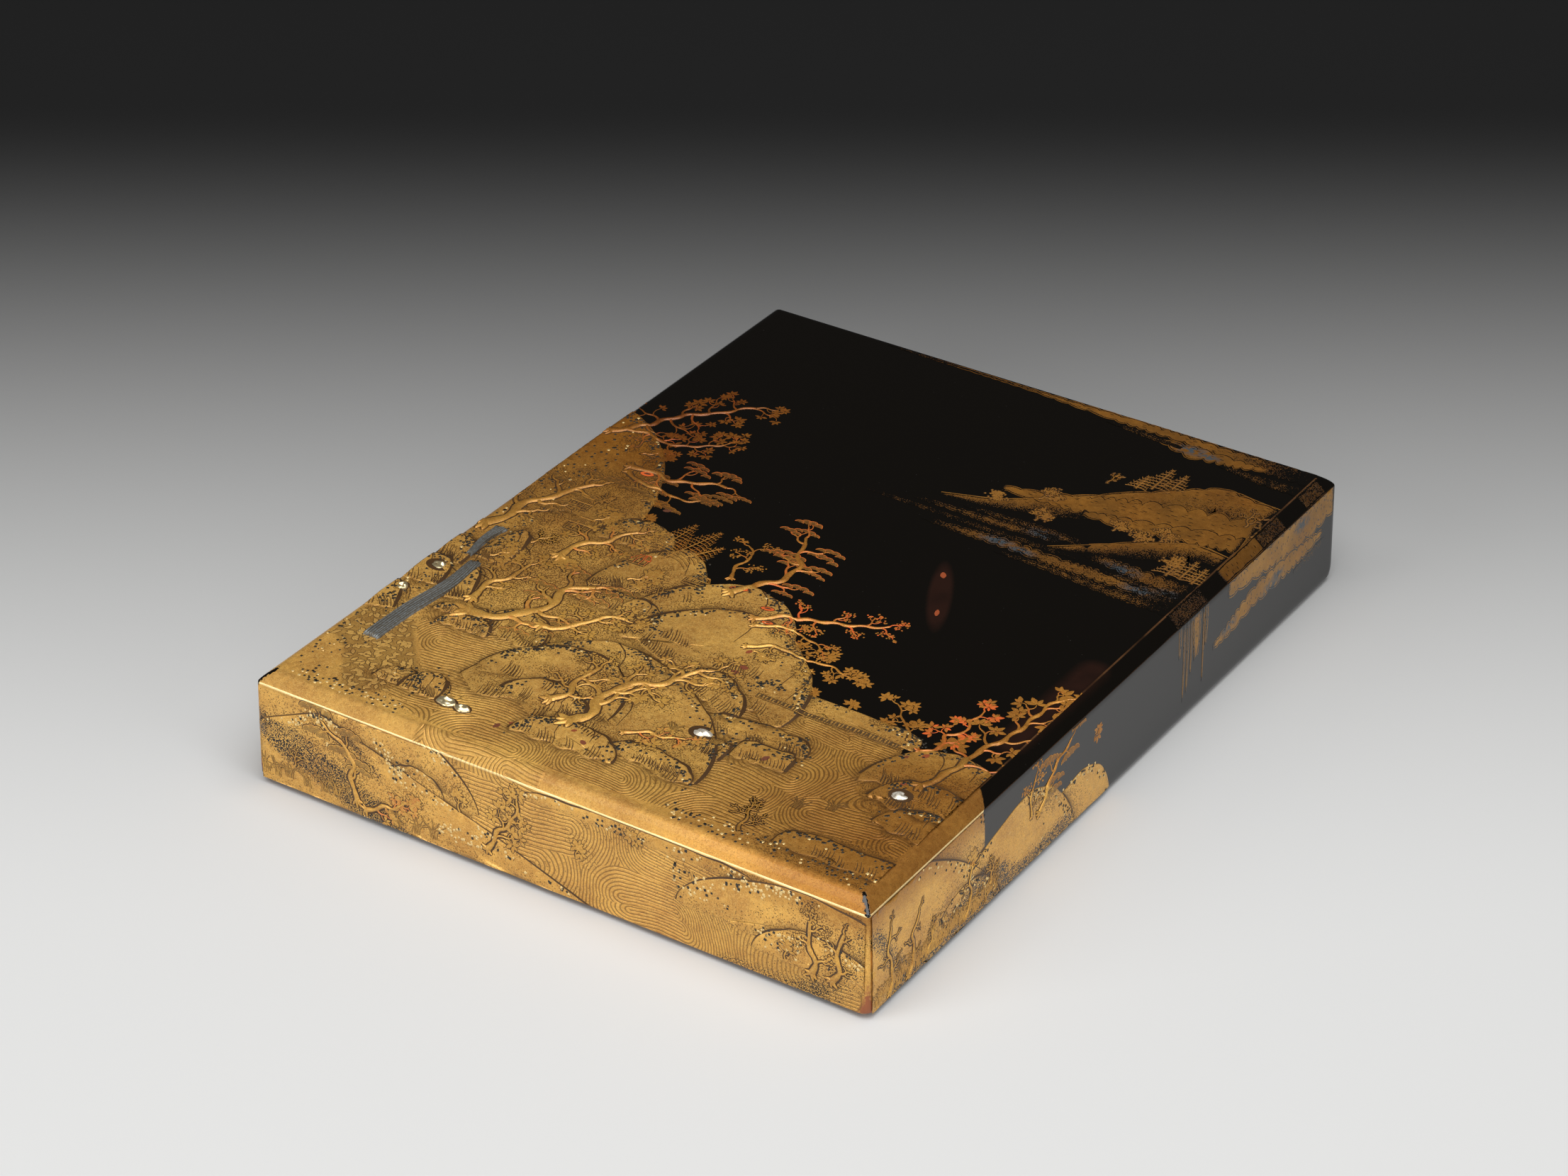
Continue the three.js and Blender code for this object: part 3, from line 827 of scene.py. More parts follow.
# %% Limbs
def limb(draw, rng, at, heading, long, wide, kind, depth, red, home):
    """One limb and all that grows from it. home is the way the whole tree leans."""
    steps = 6 if depth > 1 else 4 if depth else 3
    path, headings = [np.array(at, float)], [heading]
    swing = rng.choice((-1, 1))
    for i in range(steps):
        swing = -swing if i % 2 else swing
        heading += swing * rng.uniform(0.25, 0.75) + 0.15 * (home - heading)
        path.append(path[-1] + long / steps * way(heading))
        headings.append(heading)
    bright = red * (1.0 if depth < 2 else 0.35) * rng.uniform(0.4, 1.0)
    draw.line(smooth(path, 2), (wide, wide * 0.5), 0.2, red=bright)
    if not depth:
        if kind in TUFTS:
            tuft, size = TUFTS[kind]
            tuft(draw, rng, path[-1], heading, size * rng.uniform(0.8, 1.15), red)
        return
    forks = {3: 4, 2: 4, 1: 3}[depth] - (kind in ("pine", "broad"))
    for k in range(forks):
        at_step = min(steps, 1 + round((k + 0.6) * (steps - 1) / (forks - 1)))
        side = 1 if k % 2 else -1
        turn = headings[at_step]
        turn += side * rng.uniform(0.7, 1.35) if k < forks - 1 else rng.uniform(-0.3, 0.3)
        share = rng.uniform(0.42, 0.66) * (1.15 - 0.35 * at_step / steps)
        start, thin_powder_and_shade = path[at_step], max(wide * 0.5, 0.28)
        limb(draw, rng, start, turn, long * share, thin_powder_and_shade, kind, depth - 1, red, home + side * 0.4)


def roots(draw, rng, at, heading, wide, red):
    """Gnarled roots that grip the ground at the foot of a trunk."""
    for side in (-1.15, -0.5, 0.35, 1.05):
        turn = heading + math.pi + side
        near = at + way(turn) * wide * 0.7
        far = near + way(turn + rng.uniform(-0.5, 0.5)) * wide * rng.uniform(0.4, 0.9)
        draw.line(smooth([at, near, far]), (wide * 0.8, wide * 0.55, 0.3), 0.25, red=red * 0.3)


def cedar(draw, rng, at, heading, long, red):
    """A straight trunk with drooping combs of twigs, wide at the foot."""
    tip = at + way(heading) * long
    draw.line([at, tip], (0.5, 0.25), 0.3, red=red * 0.4)
    for t in np.linspace(0.12, 0.97, max(6, int(long / 1.5))):
        for side in (-1, 1):
            reach = (1 - t) * 0.42 * long + 0.6
            foot = at + way(heading) * long * t
            end = foot + way(heading + side * 1.75) * reach
            bend = (foot + end) / 2 + way(heading) * 0.12 * reach
            draw.line(smooth([foot, bend, end], 1), (0.34, 0.2), 0.2, 0.15, red=red * rng.random())
            for u in np.arange(0.25, 1.0, 0.9 / max(reach, 1)):
                twig = foot + (end - foot) * u + way(heading) * 0.1 * reach * (1 - u)
                end_twig = twig + way(heading + side * 0.5) * 0.9
                draw.line([twig, end_twig], (0.22, 0.14), 0.15, 0, red=red * rng.random())


def crooked(rng, path, wide):
    """The same path with the knots and bends of an old trunk."""
    points = resample(smooth(path, 2), 1.3 * wide + 1.0, 5)[0]
    sway = np.array([(-1) ** i * rng.uniform(0.2, 0.62) * wide for i in range(len(points))])
    sway[0] = 0
    return smooth(points + sideways(points) * sway[:, None], 2)


def tree(draw, rng, path, wide, kind, red, bough):
    """A tree on a chosen trunk, with boughs that leave it left and right in turn."""
    soft = crooked(rng, path, wide)
    knots = 1 + 0.18 * np.sin(np.arange(len(soft)) * 0.9) + 0.1 * np.sin(np.arange(len(soft)) * 2.3)
    draw.line(soft, np.linspace(wide, wide * 0.38, len(soft)) * knots, 0.24, 0.5, red=red * 0.3)
    run = np.gradient(soft, axis=0)
    headings = np.arctan2(run[:, 1], run[:, 0])
    roots(draw, rng, soft[0], headings[0], wide, red)
    long = np.hypot(*np.diff(soft, axis=0).T).sum()
    count = max(4, int(long / {"pine": 5.2, "broad": 5.0}.get(kind, 4.2)))
    for k in range(count):
        t = 0.25 + 0.75 * k / (count - 1)
        i = min(int(t * len(soft)), len(soft) - 1)
        side = 1 if k % 2 else -1
        turn = headings[i] + (side * rng.uniform(0.7, 1.3) if k < count - 1 else 0)
        reach = bough * rng.uniform(0.7, 1.15) * (1.25 - 0.5 * t)
        thick = max(wide * (0.52 - 0.2 * t), 0.45)
        limb(draw, rng, soft[i], turn, reach, thick, kind, 1, red, turn)


def plant(face, rows, seed):
    """Small trees on one face."""
    rng = random.Random(seed)
    for a, b, lean, tall, wide, kind, red in rows:
        at, heading = np.array([a, b], float), math.radians(lean)
        if kind == "cedar":
            cedar(art[face], rng, at, heading, tall, red)
            continue
        depth = 2 if tall > 9 else 1
        if kind in ("bare", "dotted"):
            depth = min(depth + 1, 3)
        if wide > 1:
            roots(art[face], rng, at, heading, wide, red)
        limb(art[face], rng, at, heading, tall * 0.5, wide, kind, depth, red, heading)


# %% The main trees: trunk, width, kind, how red, length of the boughs
MAIN_TREES = {
    "top": [
        ([(-91, 31), (-84, 39), (-81, 49), (-72, 56), (-64, 66)], 2.0, "leafy", 0.25, 9),
        ([(-88, 34), (-80, 36), (-74, 33), (-64, 38), (-58, 44)], 1.4, "leafy", 0.35, 6),
        ([(-74, 17), (-67, 19), (-61, 16), (-54, 21), (-45, 23)], 2.0, "pine", 0.3, 8),
        ([(-73, 14), (-66, 10), (-60, 12), (-53, 9), (-47, 12)], 1.4, "pine", 0.1, 5),
        ([(-12, -24), (-10, -17), (-4, -11), (-3, -3), (-9, 4), (-10, 12)], 2.4, "pine", 0.4, 8),
        ([(-17, -17), (-20, -11), (-17, -5), (-22, 0)], 1.2, "dotted", 0.2, 5),
        ([(1, -32), (7, -26), (15, -23), (24, -20), (33, -15)], 1.7, "dotted", 0.7, 6),
        ([(3, -35), (10, -31), (16, -31), (24, -34)], 1.2, "dotted", 0.4, 5),
        ([(7, -45), (14, -40), (21, -42), (29, -39), (37, -42)], 1.3, "leafy", 0.1, 5),
        ([(-12, -99), (-8, -91), (-13, -84), (-7, -76), (0, -72), (2, -61)], 3.4, "leafy", 0.15, 11),
        ([(-22, -94), (-18, -88), (-23, -82), (-19, -75)], 2.2, "dotted", 0.15, 8),
        ([(3, -96), (8, -92), (13, -93), (18, -90)], 1.2, "leafy", 0.5, 4),
        ([(-91, -30), (-87, -22), (-88, -12), (-80, -6), (-78, 3)], 3.4, "pine", 0.15, 8),
        ([(-63, -33), (-64, -26), (-56, -21), (-52, -12)], 2.4, "leafy", 0.3, 7),
        ([(-66, -71), (-56, -68), (-49, -59), (-53, -49), (-46, -41)], 3.8, "pine", 0.3, 9),
        ([(-70, -64), (-73, -57), (-66, -50), (-68, -42)], 2.2, "leafy", 0.2, 7),
        ([(-45, -66), (-37, -61), (-36, -54), (-29, -50)], 2.2, "leafy", 0.2, 6),
        ([(80, -75), (84, -63), (83, -52), (88, -42), (87, -31), (89, -20)], 2.2, "broad", 0.3, 8),
        ([(71, -61), (76, -57), (71, -51), (78, -48), (74, -42), (76, -36)], 1.3, "leafy", 1.0, 4),
        ([(66, -58), (63, -53), (59, -51), (55, -45)], 0.9, "leafy", 0.1, 4),
    ],
    "front_wall": [
        ([(-63, 5), (-66, 11), (-62, 17), (-68, 22), (-74, 25)], 1.6, "pine", 0.15, 5),
        ([(-60, 3), (-54, 7), (-50, 6), (-46, 11)], 1.4, "leafy", 0.5, 4),
        ([(-20, 6), (-17, 13), (-12, 16), (-10, 24)], 1.5, "leafy", 0.05, 5),
        ([(80, 7), (81, 12), (78, 17), (80, 22)], 1.7, "dotted", 0, 4),
        ([(86, 7), (89, 12), (86, 17), (90, 22)], 1.7, "bare", 0, 4),
    ],
    "right_wall": [
        ([(-43, 14), (-38, 19), (-35, 24), (-26, 27)], 1.4, "pine", 0, 5),
        ([(-47, 15), (-48, 21), (-44, 26)], 0.9, "dotted", 0, 4),
        ([(-116, 2), (-114, 9), (-118, 15), (-115, 21)], 1.2, "bare", 0, 5),
        ([(-107, 2), (-104, 8), (-107, 13), (-102, 18)], 1.2, "bare", 0, 4),
        ([(-80, 3), (-76, 9), (-79, 14), (-74, 18)], 0.9, "bare", 0, 4),
    ],
}
rng = random.Random(17)
for face, rows in MAIN_TREES.items():
    for path, wide, kind, red, bough in rows:
        tree(art[face], rng, path, wide, kind, red, bough)

# %% Small trees and shrubs: along, up, lean in degrees, height, trunk width, kind, how red
plant(
    "top",
    [
        (-76, 24, 40, 12, 0.9, "leafy", 0.1), (-61, 3, 20, 7, 0.5, "leafy", 0),
        (-55, -5, 50, 5, 0.4, "leafy", 0),
        (-42, -16, 85, 17, 0.8, "cedar", 0.2), (-38, -20, 75, 22, 0.9, "cedar", 0.25),
        (-33, -16, 62, 12, 0.7, "cedar", 0.2), (-66, -14, 60, 12, 0.8, "leafy", 0.1),
        (-48, -48, 60, 15, 0.7, "bare", 0.1), (-40, -34, 30, 13, 0.9, "leafy", 0.2),
        (-79, -44, 60, 12, 0.8, "leafy", 0.1), (-29, -54, 25, 12, 0.6, "bare", 0.1),
        (-74, -32, 80, 12, 0.8, "bare", 0.1), (10, -46, -15, 10, 0.7, "bare", 0.1),
        (52, -116, 112, 22, 0.9, "bare", 0.1), (-71, -6, 70, 10, 0.5, "bare", 0.0),
        (-30, -36, 60, 9, 0.6, "bare", 0.2), (-57, -40, 120, 10, 0.7, "leafy", 0.1),
        (32, -55, 70, 4, 0.4, "leafy", 0), (45, -54, 90, 4, 0.4, "leafy", 0),
    ],
    11,
)
plant(
    "front_wall",
    [
        (-29, 14, 100, 8, 0.6, "leafy", 0), (8, 14, 80, 6, 0.4, "leafy", 0),
        (-84, 8, 80, 8, 0.5, "bare", 0.1),
        (26, 24, 90, 5, 0.4, "leafy", 0), (72, 8, 80, 7, 0.5, "leafy", 0),
    ],
    12,
)
plant(
    "right_wall",
    [
        (-98, 3, 75, 13, 1.0, "bare", 0), (-68, 6, 80, 12, 0.8, "bare", 0), (-14, 20, 40, 6, 0.4, "leafy", 0),
        (-92, 4, 90, 9, 0.5, "leafy", 0), (-77, 17, 80, 5, 0.4, "leafy", 0),
    ],
    13,
)
plant(
    "left_wall",
    [
        (70, 3, 80, 16, 1.2, "leafy", 0), (105, 3, 95, 18, 1.4, "dotted", 0), (20, 3, 85, 12, 0.8, "bare", 0),
    ],
    14,
)
plant("back_wall", [(66, 3, 90, 14, 1.0, "leafy", 0)], 15)

# %% [markdown]
# ## Cut gold, hatching and plants
# Along the crests lie squares cut from gold leaf, and from silver leaf that has turned nearly black. Fine
# slanting strokes mark the steep foot of each rock. A thick carpet of small leaves covers the left bank.

# %% Dark lines round the hills
def seen_line(face, number, path, wide):
    """A brown line on one hill, left out where a nearer hill covers it."""
    seen = np.ones(len(path), bool)
    for nearer in HILLS[face][number + 1 :]:
        seen &= inside_distance(path, nearer["outline"]) < 0.15
    breaks = np.flatnonzero(np.diff(np.concatenate([[0], seen.astype(int), [0]])))
    for first, last in zip(breaks[::2], breaks[1::2]):
        if last - first > 2:
            lines_and_shadows[face].strip(path[first:last], wide[first:last], 0.03)


rng = random.Random(31)
for face, hills in HILLS.items():
    for hill in hills:
        crest = hill["outline"][:-FOOT_POINTS]
        path = smooth(crest, 1)
        wide = 0.68 if face == "top" else 0.38
        wide = wide * (1 + 0.5 * np.sin(np.arange(len(path)) / 9 + hill["number"]))
        # A brown band just outside the crest: painted shadow where the hill stands over what lies behind it,
        # partly dirt.
        seen_line(face, hill["number"], path + sideways(path) * 0.12, wide)
        if hill["rise"] < 9 or face != "top":
            continue
        for start_share in (0.42, 0.58, 0.74):
            # a crease that runs down and forward from the crest
            start = crest[int((start_share + rng.uniform(-0.06, 0.06)) * len(crest))]
            ahead = np.array([hill["up"][1], -hill["up"][0]])
            long = hill["rise"] * rng.uniform(0.35, 0.65)
            bend = start + ahead * long * 0.45 - hill["up"] * long * 0.25
            path = smooth([start, bend, start + ahead * long * 0.6 - hill["up"] * long], 3)
            seen_line(face, hill["number"], path, np.linspace(0.5, 0.12, len(path)))


# %% Squares of leaf along the crests
def squares_along(draw, rng, hill, clusters, pale):
    """Squares in clusters under a crest. pale is the share of bright gold ones."""
    outline = hill["outline"]
    last = len(outline) - FOOT_POINTS
    for _ in range(clusters):
        i = int(rng.uniform(0.1, 0.92) * last)
        edge, next_edge = outline[i], outline[(i + 1) % len(outline)]
        run = (next_edge - edge) / (np.hypot(*(next_edge - edge)) + 1e-9)
        inward = np.array([run[1], -run[0]])
        deep = rng.uniform(0.7, 2.6)
        for _ in range(rng.randint(3, 9)):
            at = edge + run * rng.gauss(0, 3.0) + inward * max(0.6, rng.gauss(deep, 0.9))
            dark = -1.0 if rng.random() < pale else 1.0
            size = rng.uniform(0.45, 0.75)
            draw.square(at, rng.uniform(-0.25, 0.25) + math.atan2(run[1], run[0]), size, dark=dark)


def squares_in(draw, rng, a0, b0, a1, b1, count, pale, slant=0.0):
    """Loose squares between two corners, along a slant."""
    for _ in range(count):
        at = np.array([rng.uniform(a0, a1), rng.uniform(b0, b1)])
        at[1] += slant * (at[0] - a0)
        dark = -1.0 if rng.random() < pale else 1.0
        draw.square(at, rng.uniform(-0.4, 0.4), rng.uniform(0.42, 0.75), dark=dark)


rng = random.Random(21)
for hill in HILLS["top"]:
    size = np.ptp(hill["outline"][:, 0])
    squares_along(art["top"], rng, hill, int(3 + size / 3.2), 0.04)
for face, pale in (("front_wall", 0.7), ("right_wall", 0.4)):
    for hill in HILLS[face]:
        squares_along(art[face], rng, hill, int(2 + np.ptp(hill["outline"][:, 0]) / 8), pale)
for face in ("left_wall", "back_wall"):
    for hill in HILLS[face]:
        squares_along(art[face], rng, hill, 8, 0.4)
# two corners, how many, the share of pale ones, and a slant
LOOSE_SQUARES = {
    "top": [
        (-92, -118, -80, 40, 260, 0.15),
        (-88, -121, -52, -116, 80, 0.35),
        (30, -120.5, 92, -114, 120, 0.3),
    ],
    "front_wall": [
        (-57, 24, -46, 29, 40, 0.7, -0.9),
        (-36, 4, -22, 9, 45, 0.9),
        (10, 26, 30, 28.5, 34, 0.3),
        (38, 17, 56, 24, 34, 0.5, -0.1),
        (63, 9, 76, 15, 40, 0.5),
    ],
}
for face, rows in LOOSE_SQUARES.items():
    for row in rows:
        squares_in(art[face], rng, *row)


# %% Slanting strokes at the feet of the rocks
def hatch(draw, rng, hill, groups):
    """Groups of strokes that rise from a hill's foot."""
    outline, up = hill["outline"], hill["up"]
    start = len(outline) - FOOT_POINTS + 1
    for _ in range(groups):
        i = start + int(rng.uniform(0.05, 0.95) * (FOOT_POINTS - 2))
        at = outline[i]
        lean = math.atan2(up[1], up[0]) + rng.uniform(0.15, 0.55)
        for k in range(rng.randint(3, 6)):
            foot = at + np.array([up[1], -up[0]]) * 0.95 * k + way(lean) * rng.uniform(0.3, 0.9)
            long = rng.uniform(0.5, 1.0) * min(6.0, hill["rise"] * 0.5)
            path = smooth([foot, foot + way(lean - 0.12) * long / 2, foot + way(lean) * long], 1)
            draw.strip(path, np.linspace(0.3, 0.12, len(path)), 0.03)


FAR_BANK = 3
for hill in HILLS["top"]:
    if hill["rise"] > 5 and hill["number"] != FAR_BANK:
        hatch(lines_and_shadows["top"], rng, hill, int(3 + np.ptp(hill["outline"][:, 0]) / 9))


# %% The leafy bank, reeds, a palisade and huts
def carpet(draw, rng, outline, pitch):
    """Leaves laid close inside an outline, each a little out of place and turned its own way."""
    outline = np.array(outline, float)
    low, high = outline.min(0), outline.max(0)
    spots = []
    for a in np.arange(low[0], high[0], pitch):
        for b in np.arange(low[1], high[1], pitch * 0.8):
            spots.append((a + rng.uniform(-0.3, 0.3) * pitch, b + rng.uniform(-0.3, 0.3) * pitch))
    spots = np.array(spots)
    for at in spots[inside_distance(spots, outline) > 0.8]:
        turn, long = rng.uniform(0, 6.3), pitch * rng.uniform(1.0, 1.3)
        draw.leaf(at, turn, long, pitch * 0.58, halo=0.2, dark=-0.15)


def reeds(draw, rng, at, count, tall, dark=0.0):
    """A tuft of thin curved blades."""
    for _ in range(count):
        foot = at + way(0) * rng.uniform(-1.2, 1.2)
        lean = rng.uniform(-0.9, 0.9)
        tip = foot + tall * rng.uniform(0.6, 1) * way(math.pi / 2 - lean)
        middle = foot + tall * 0.45 * way(math.pi / 2 - lean * 0.3)
        draw.line(smooth([foot, middle, tip], 1), (0.32, 0.12), 0.16, 0.1, dark=dark)


def hut(draw, rng, at, wide, red):
    """A thatched roof seen a little from above, on posts."""
    at = np.array(at, float)
    eave_l, eave_r = at + [0, wide * 0.42], at + [wide, wide * 0.42]
    ridge_l, ridge_r = at + [wide * 0.22, wide * 0.8], at + [wide * 0.8, wide * 0.8]
    draw.line([eave_l, eave_r], 0.46, 0.25, red=red)
    draw.line([ridge_l, ridge_r], 0.46, 0.3, red=red)
    for t in np.linspace(0, 1, int(wide / 0.55)):
        straw = [eave_l + (eave_r - eave_l) * t, ridge_l + (ridge_r - ridge_l) * t]
        draw.line(straw, 0.2, 0.15, 0.1, red=red * rng.random())
    for t in (0.08, 0.36, 0.64, 0.92):
        post = at + [wide * t, 0]
        draw.line([post, post + [0, wide * 0.4]], 0.26, 0.2, red=red * 0.5)
    for up in (0.0, 0.16):
        draw.line([at + [0.05 * wide, up * wide], at + [0.95 * wide, up * wide]], 0.24, 0.2)


carpet(art["top"], rng, LEAFY, 2.1)
SHORE_REEDS = [
    (-60, -72), (-52, -71), (-44, -74), (-37, -70), (-58, -79), (13, -90), (25, -88), (58, -100), (66, -96),
]
for place in SHORE_REEDS:
    reeds(art["top"], rng, np.array(place, float), 12, 5.5, 0.35)
for a in range(-80, 100, 3):
    reeds(art["right_wall"], rng, np.array([-122 + (a + 80) * 0.32, 1.5 + 3 * rng.random()]), 7, 5.0)
for a in (-94, -90, -86, -80, -74, -70, -50, -44, -38):
    reeds(art["front_wall"], rng, np.array([a, 1.0 + rng.random() * 3]), 9, 6.5, 0.2)
for a in (30, 36, 62, 66, 78, 92, 98, 112, 116):
    reeds(art["left_wall"], rng, np.array([a, 1.0 + rng.random() * 3]), 9, 6.0)
HUTS = [((-78, -10), 7.5, 0.0), ((-72, -20), 8.5, 0.0), ((-46, -26), 6.5, 0.8), ((-27, -27), 7.5, 0.0)]
for at, wide, red in HUTS:
    hut(art["top"], rng, at, wide, red)
# a fence of crossed sticks
for k in range(9):
    foot = np.array([-38 + 1.1 * k, -39 + 0.5 * k])
    art["top"].line([foot, foot + [1.6, 3.2]], 0.24, 0.2)
    art["top"].line([foot + [1.6, 0], foot + [0.2, 3.0]], 0.24, 0.2)
# a palisade along the bank: dark stakes between two rails
STAKES = 56


def stake_foot(k):
    return np.array([22.0 + 0.78 * k, -63.4 - 0.4 * math.sin(k / 9)])


for k in range(STAKES):
    foot = stake_foot(k)
    art["top"].line([foot, foot + [0.35 * math.sin(k * 2.1), 2.0]], 0.26, 0.15, 0.1, dark=0.8)
for lift in (0.2, 2.0):
    art["top"].line([stake_foot(k) + [0, lift] for k in range(0, STAKES + 1, 4)], 0.26, 0.15, 0.15)

# %% [markdown]
# ## The lid's own surface
# The lid is one closed shell. Its top is a fine grid, so that numbers kept on its points can say where
# the ground is gold, where it is water, and where brown gathers beside a rock or behind leaves.

# %% The lid as one shell
CORNER_STEPS = 4
WALL_ROWS = 22
GRID_STEP = 1.0
GRID_MARGIN = 1.0


def ring_points(half_x, half_y, radius, fractions_x, fractions_y):
    """A closed line round the lid, and for each point which side it belongs to."""
    points, sides = [], []
    plan = [
        ("right", (half_x, -half_y), -90, (0, 1), fractions_y, half_y),
        ("back", (half_x, half_y), 0, (-1, 0), fractions_x, half_x),
        ("left", (-half_x, half_y), 90, (0, -1), fractions_y, half_y),
        ("front", (-half_x, -half_y), 180, (1, 0), fractions_x, half_x),
    ]
    for side, corner, start, (dx, dy), fractions, half in plan:
        centre = np.array(corner) - radius * np.sign(corner)
        turn = np.radians(start + np.linspace(0, 90, CORNER_STEPS + 1))
        corner_points = centre + radius * np.column_stack([np.cos(turn), np.sin(turn)])
        points += corner_points.tolist()
        run = 2 * (half - radius) * np.asarray(fractions)
        points += (corner_points[-1] + run[:, None] * np.array([dx, dy])).tolist()
        sides += [side] * (CORNER_STEPS + 1 + len(run))
    return np.array(points), sides


def lid_sections():
    """The lid's profile from the top's edge down to the rim and up inside: inset, height, corner radius."""
    sections = [(SLOPE_WIDE, TOP_Z, 0.7)]
    for t in (0.25, 0.5, 0.75):
        bulge = SLOPE_BULGE * math.sin(math.pi * t) * math.sqrt(0.5)
        sections.append((SLOPE_WIDE * (1 - t) - bulge, TOP_Z - SLOPE_HIGH * t + bulge, 0.8))
    sections += [(0.30, EDGE_Z + 0.27, 1.0), (0.12, EDGE_Z + 0.08, 1.1), (0.0, EDGE_Z - 0.25, 1.2)]
    for k in range(1, WALL_ROWS + 1):
        down = 0.25 + (WALL - 0.85) * k / WALL_ROWS
        worn = 1.2 + 1.8 * max(0, (down - WALL + 4) / 4) ** 2
        sections.append((-FLARE * down / WALL, EDGE_Z - down, worn))
    for inset, up in ((0.06, 0.3), (0.25, 0.08), (0.6, 0.0)):
        sections.append((-FLARE + inset, RIM_Z + up, 3.0))
    sections += [(WALL_THICK - 0.2, RIM_Z, 1.6), (WALL_THICK, RIM_Z + 0.2, 1.5)]
    return sections + [(WALL_THICK, TOP_Z - TOP_THICK, 1.5)]


def lid_shell():
    """Points, faces, the points laid out flat, and the side of each ring's points."""
    grid_x, grid_y = FLAT_X - GRID_MARGIN, FLAT_Y - GRID_MARGIN
    nx, ny = int(2 * grid_x / GRID_STEP) + 1, int(2 * grid_y / GRID_STEP) + 1
    xs, ys = np.linspace(-grid_x, grid_x, nx), np.linspace(-grid_y, grid_y, ny)
    gx, gy = np.meshgrid(xs, ys)
    top = np.column_stack([gx.ravel(), gy.ravel(), np.full(gx.size, TOP_Z)])
    plan = [top[:, :2]]
    points, faces = [top], []
    for j in range(ny - 1):
        for i in range(nx - 1):
            k = j * nx + i
            faces.append((k, k + 1, k + 1 + nx, k + nx))
    corner = {"right": nx - 1, "back": nx * ny - 1, "left": nx * (ny - 1), "front": 0}
    inner = {
        "right": [j * nx + nx - 1 for j in range(1, ny - 1)],
        "back": [nx * (ny - 1) + i for i in range(nx - 2, 0, -1)],
        "left": [j * nx for j in range(ny - 2, 0, -1)],
        "front": list(range(1, nx - 1)),
    }
    previous = []
    for side in ("right", "back", "left", "front"):
        previous += [corner[side]] * (CORNER_STEPS + 1) + inner[side]
    fractions_x = np.arange(1, nx - 1) / (nx - 1)
    fractions_y = np.arange(1, ny - 1) / (ny - 1)
    sections = lid_sections()
    base = len(top)
    down, last = 0.0, sections[0]
    for inset, z, radius in sections:
        ring, all_sides = ring_points(WIDTH / 2 - inset, LENGTH / 2 - inset, radius, fractions_x, fractions_y)
        points.append(np.column_stack([ring, np.full(len(ring), z)]))
        down += math.hypot(inset - last[0], z - last[1])
        last = (inset, z)
        flat = ring.copy()
        for i, side in enumerate(all_sides):
            if side in ("right", "left"):
                flat[i, 0] = SIDES[side][0] * (FLAT_X + down)
            else:
                flat[i, 1] = SIDES[side][1] * (FLAT_Y + down)
        plan.append(flat)
        current = list(range(base, base + len(ring)))
        for i in range(len(ring)):
            j = (i + 1) % len(ring)
            corners = [previous[i], current[i], current[j], previous[j]]
            face = tuple(dict.fromkeys(corners))
            if len(face) > 2:
                faces.append(face)
        previous = current
        base += len(ring)
    faces.append(tuple(previous[::-1]))
    return np.concatenate(points), faces, np.concatenate(plan), all_sides, len(top), len(sections)


points, faces, plan, sides, top_count, ring_count = lid_shell()
side_of = np.array(["top"] * top_count + list(sides) * ring_count)
on_top = side_of == "top"
print("lid shell:", len(points), "points")

# %% Numbers kept on the lid's points
x, y, z = points.T
outline_of = {name: np.array(rows, float) for name, rows in REGIONS.items()}
region = {name: inside_distance(plan, outline, 6.0) for name, outline in outline_of.items()}
is_front, is_right = side_of == "front", side_of == "right"
on_slope = (z > EDGE_Z - 0.3) & ~on_top
region["gold"][is_front] = 6
region["water"][is_front & ~on_slope] = 6
region["water"][is_front & on_slope] = np.minimum(20 - np.abs(x + 24), 4)[is_front & on_slope]
region["leafy"][~on_top] = -6
region["dusky"][~on_top] = -6
right_edge = -70.5 - (y + 1.2 * (EDGE_Z - z))
region["gold"][is_right] = np.where(on_slope, np.clip(right_edge, -6, 6), -6)[is_right]
region["gold"][is_right & (y < 3.2 - LENGTH / 2)] = 6
region["water"][is_right] = -6
region["water"][is_front & ~on_slope & (x < -60)] = -6
ridge = np.where(is_right & (z > TOP_Z - 0.01), 1.0, 0.0)
ridge = np.where(is_right & (np.abs(z - EDGE_Z - 0.08) < 0.02), 0.9, ridge) * (y > -72)
other = (side_of == "left") | (side_of == "back")
region["gold"][other] = -6
region["water"][other] = -6
left_gold = (side_of == "left") & on_slope
region["gold"][left_gold] = np.clip(42 - y, -6, 6)[left_gold]
shade = shadow("top", plan)
shade[~on_top] = 0
shade[(is_front | is_right) & ~on_slope] = WALL_SHADE
shade[is_front & ~on_slope] += 0.16 * np.clip((x[is_front & ~on_slope] - 30) / 40, 0, 1)
shade[on_slope & is_front] = np.interp(
    x[on_slope & is_front], (-90, -40, 10, 30, 46), (0.46, 0.42, 0.38, 0.28, 0.0)
)
shade[on_slope & is_right] = 0.22
from_corner = np.hypot(np.abs(x) - WIDTH / 2, y + LENGTH / 2)
dust = np.maximum(valley_dust("top", plan), 0.9 * leaf_dust("top", plan))
dust[~on_top] = 0
dense = np.ones(len(plan))
for face, of_side, along in (("front_wall", is_front, x), ("right_wall", is_right, y)):
    of_side = of_side & ~on_slope
    flat = np.column_stack([along, z - RIM_Z])[of_side]
    dust[of_side] = np.maximum(valley_dust(face, flat), leaf_dust(face, flat))
    dense[of_side] = thin_powder(face, flat)
from_mitre = np.abs(np.abs(x) - WIDTH / 2 - (np.abs(y) - LENGTH / 2))
worn = np.where(on_slope, np.clip(0.75 - from_mitre / 1.1, -1, 1), -1)
worn = np.where((y < 0) & (from_corner < 7), worn, -1)
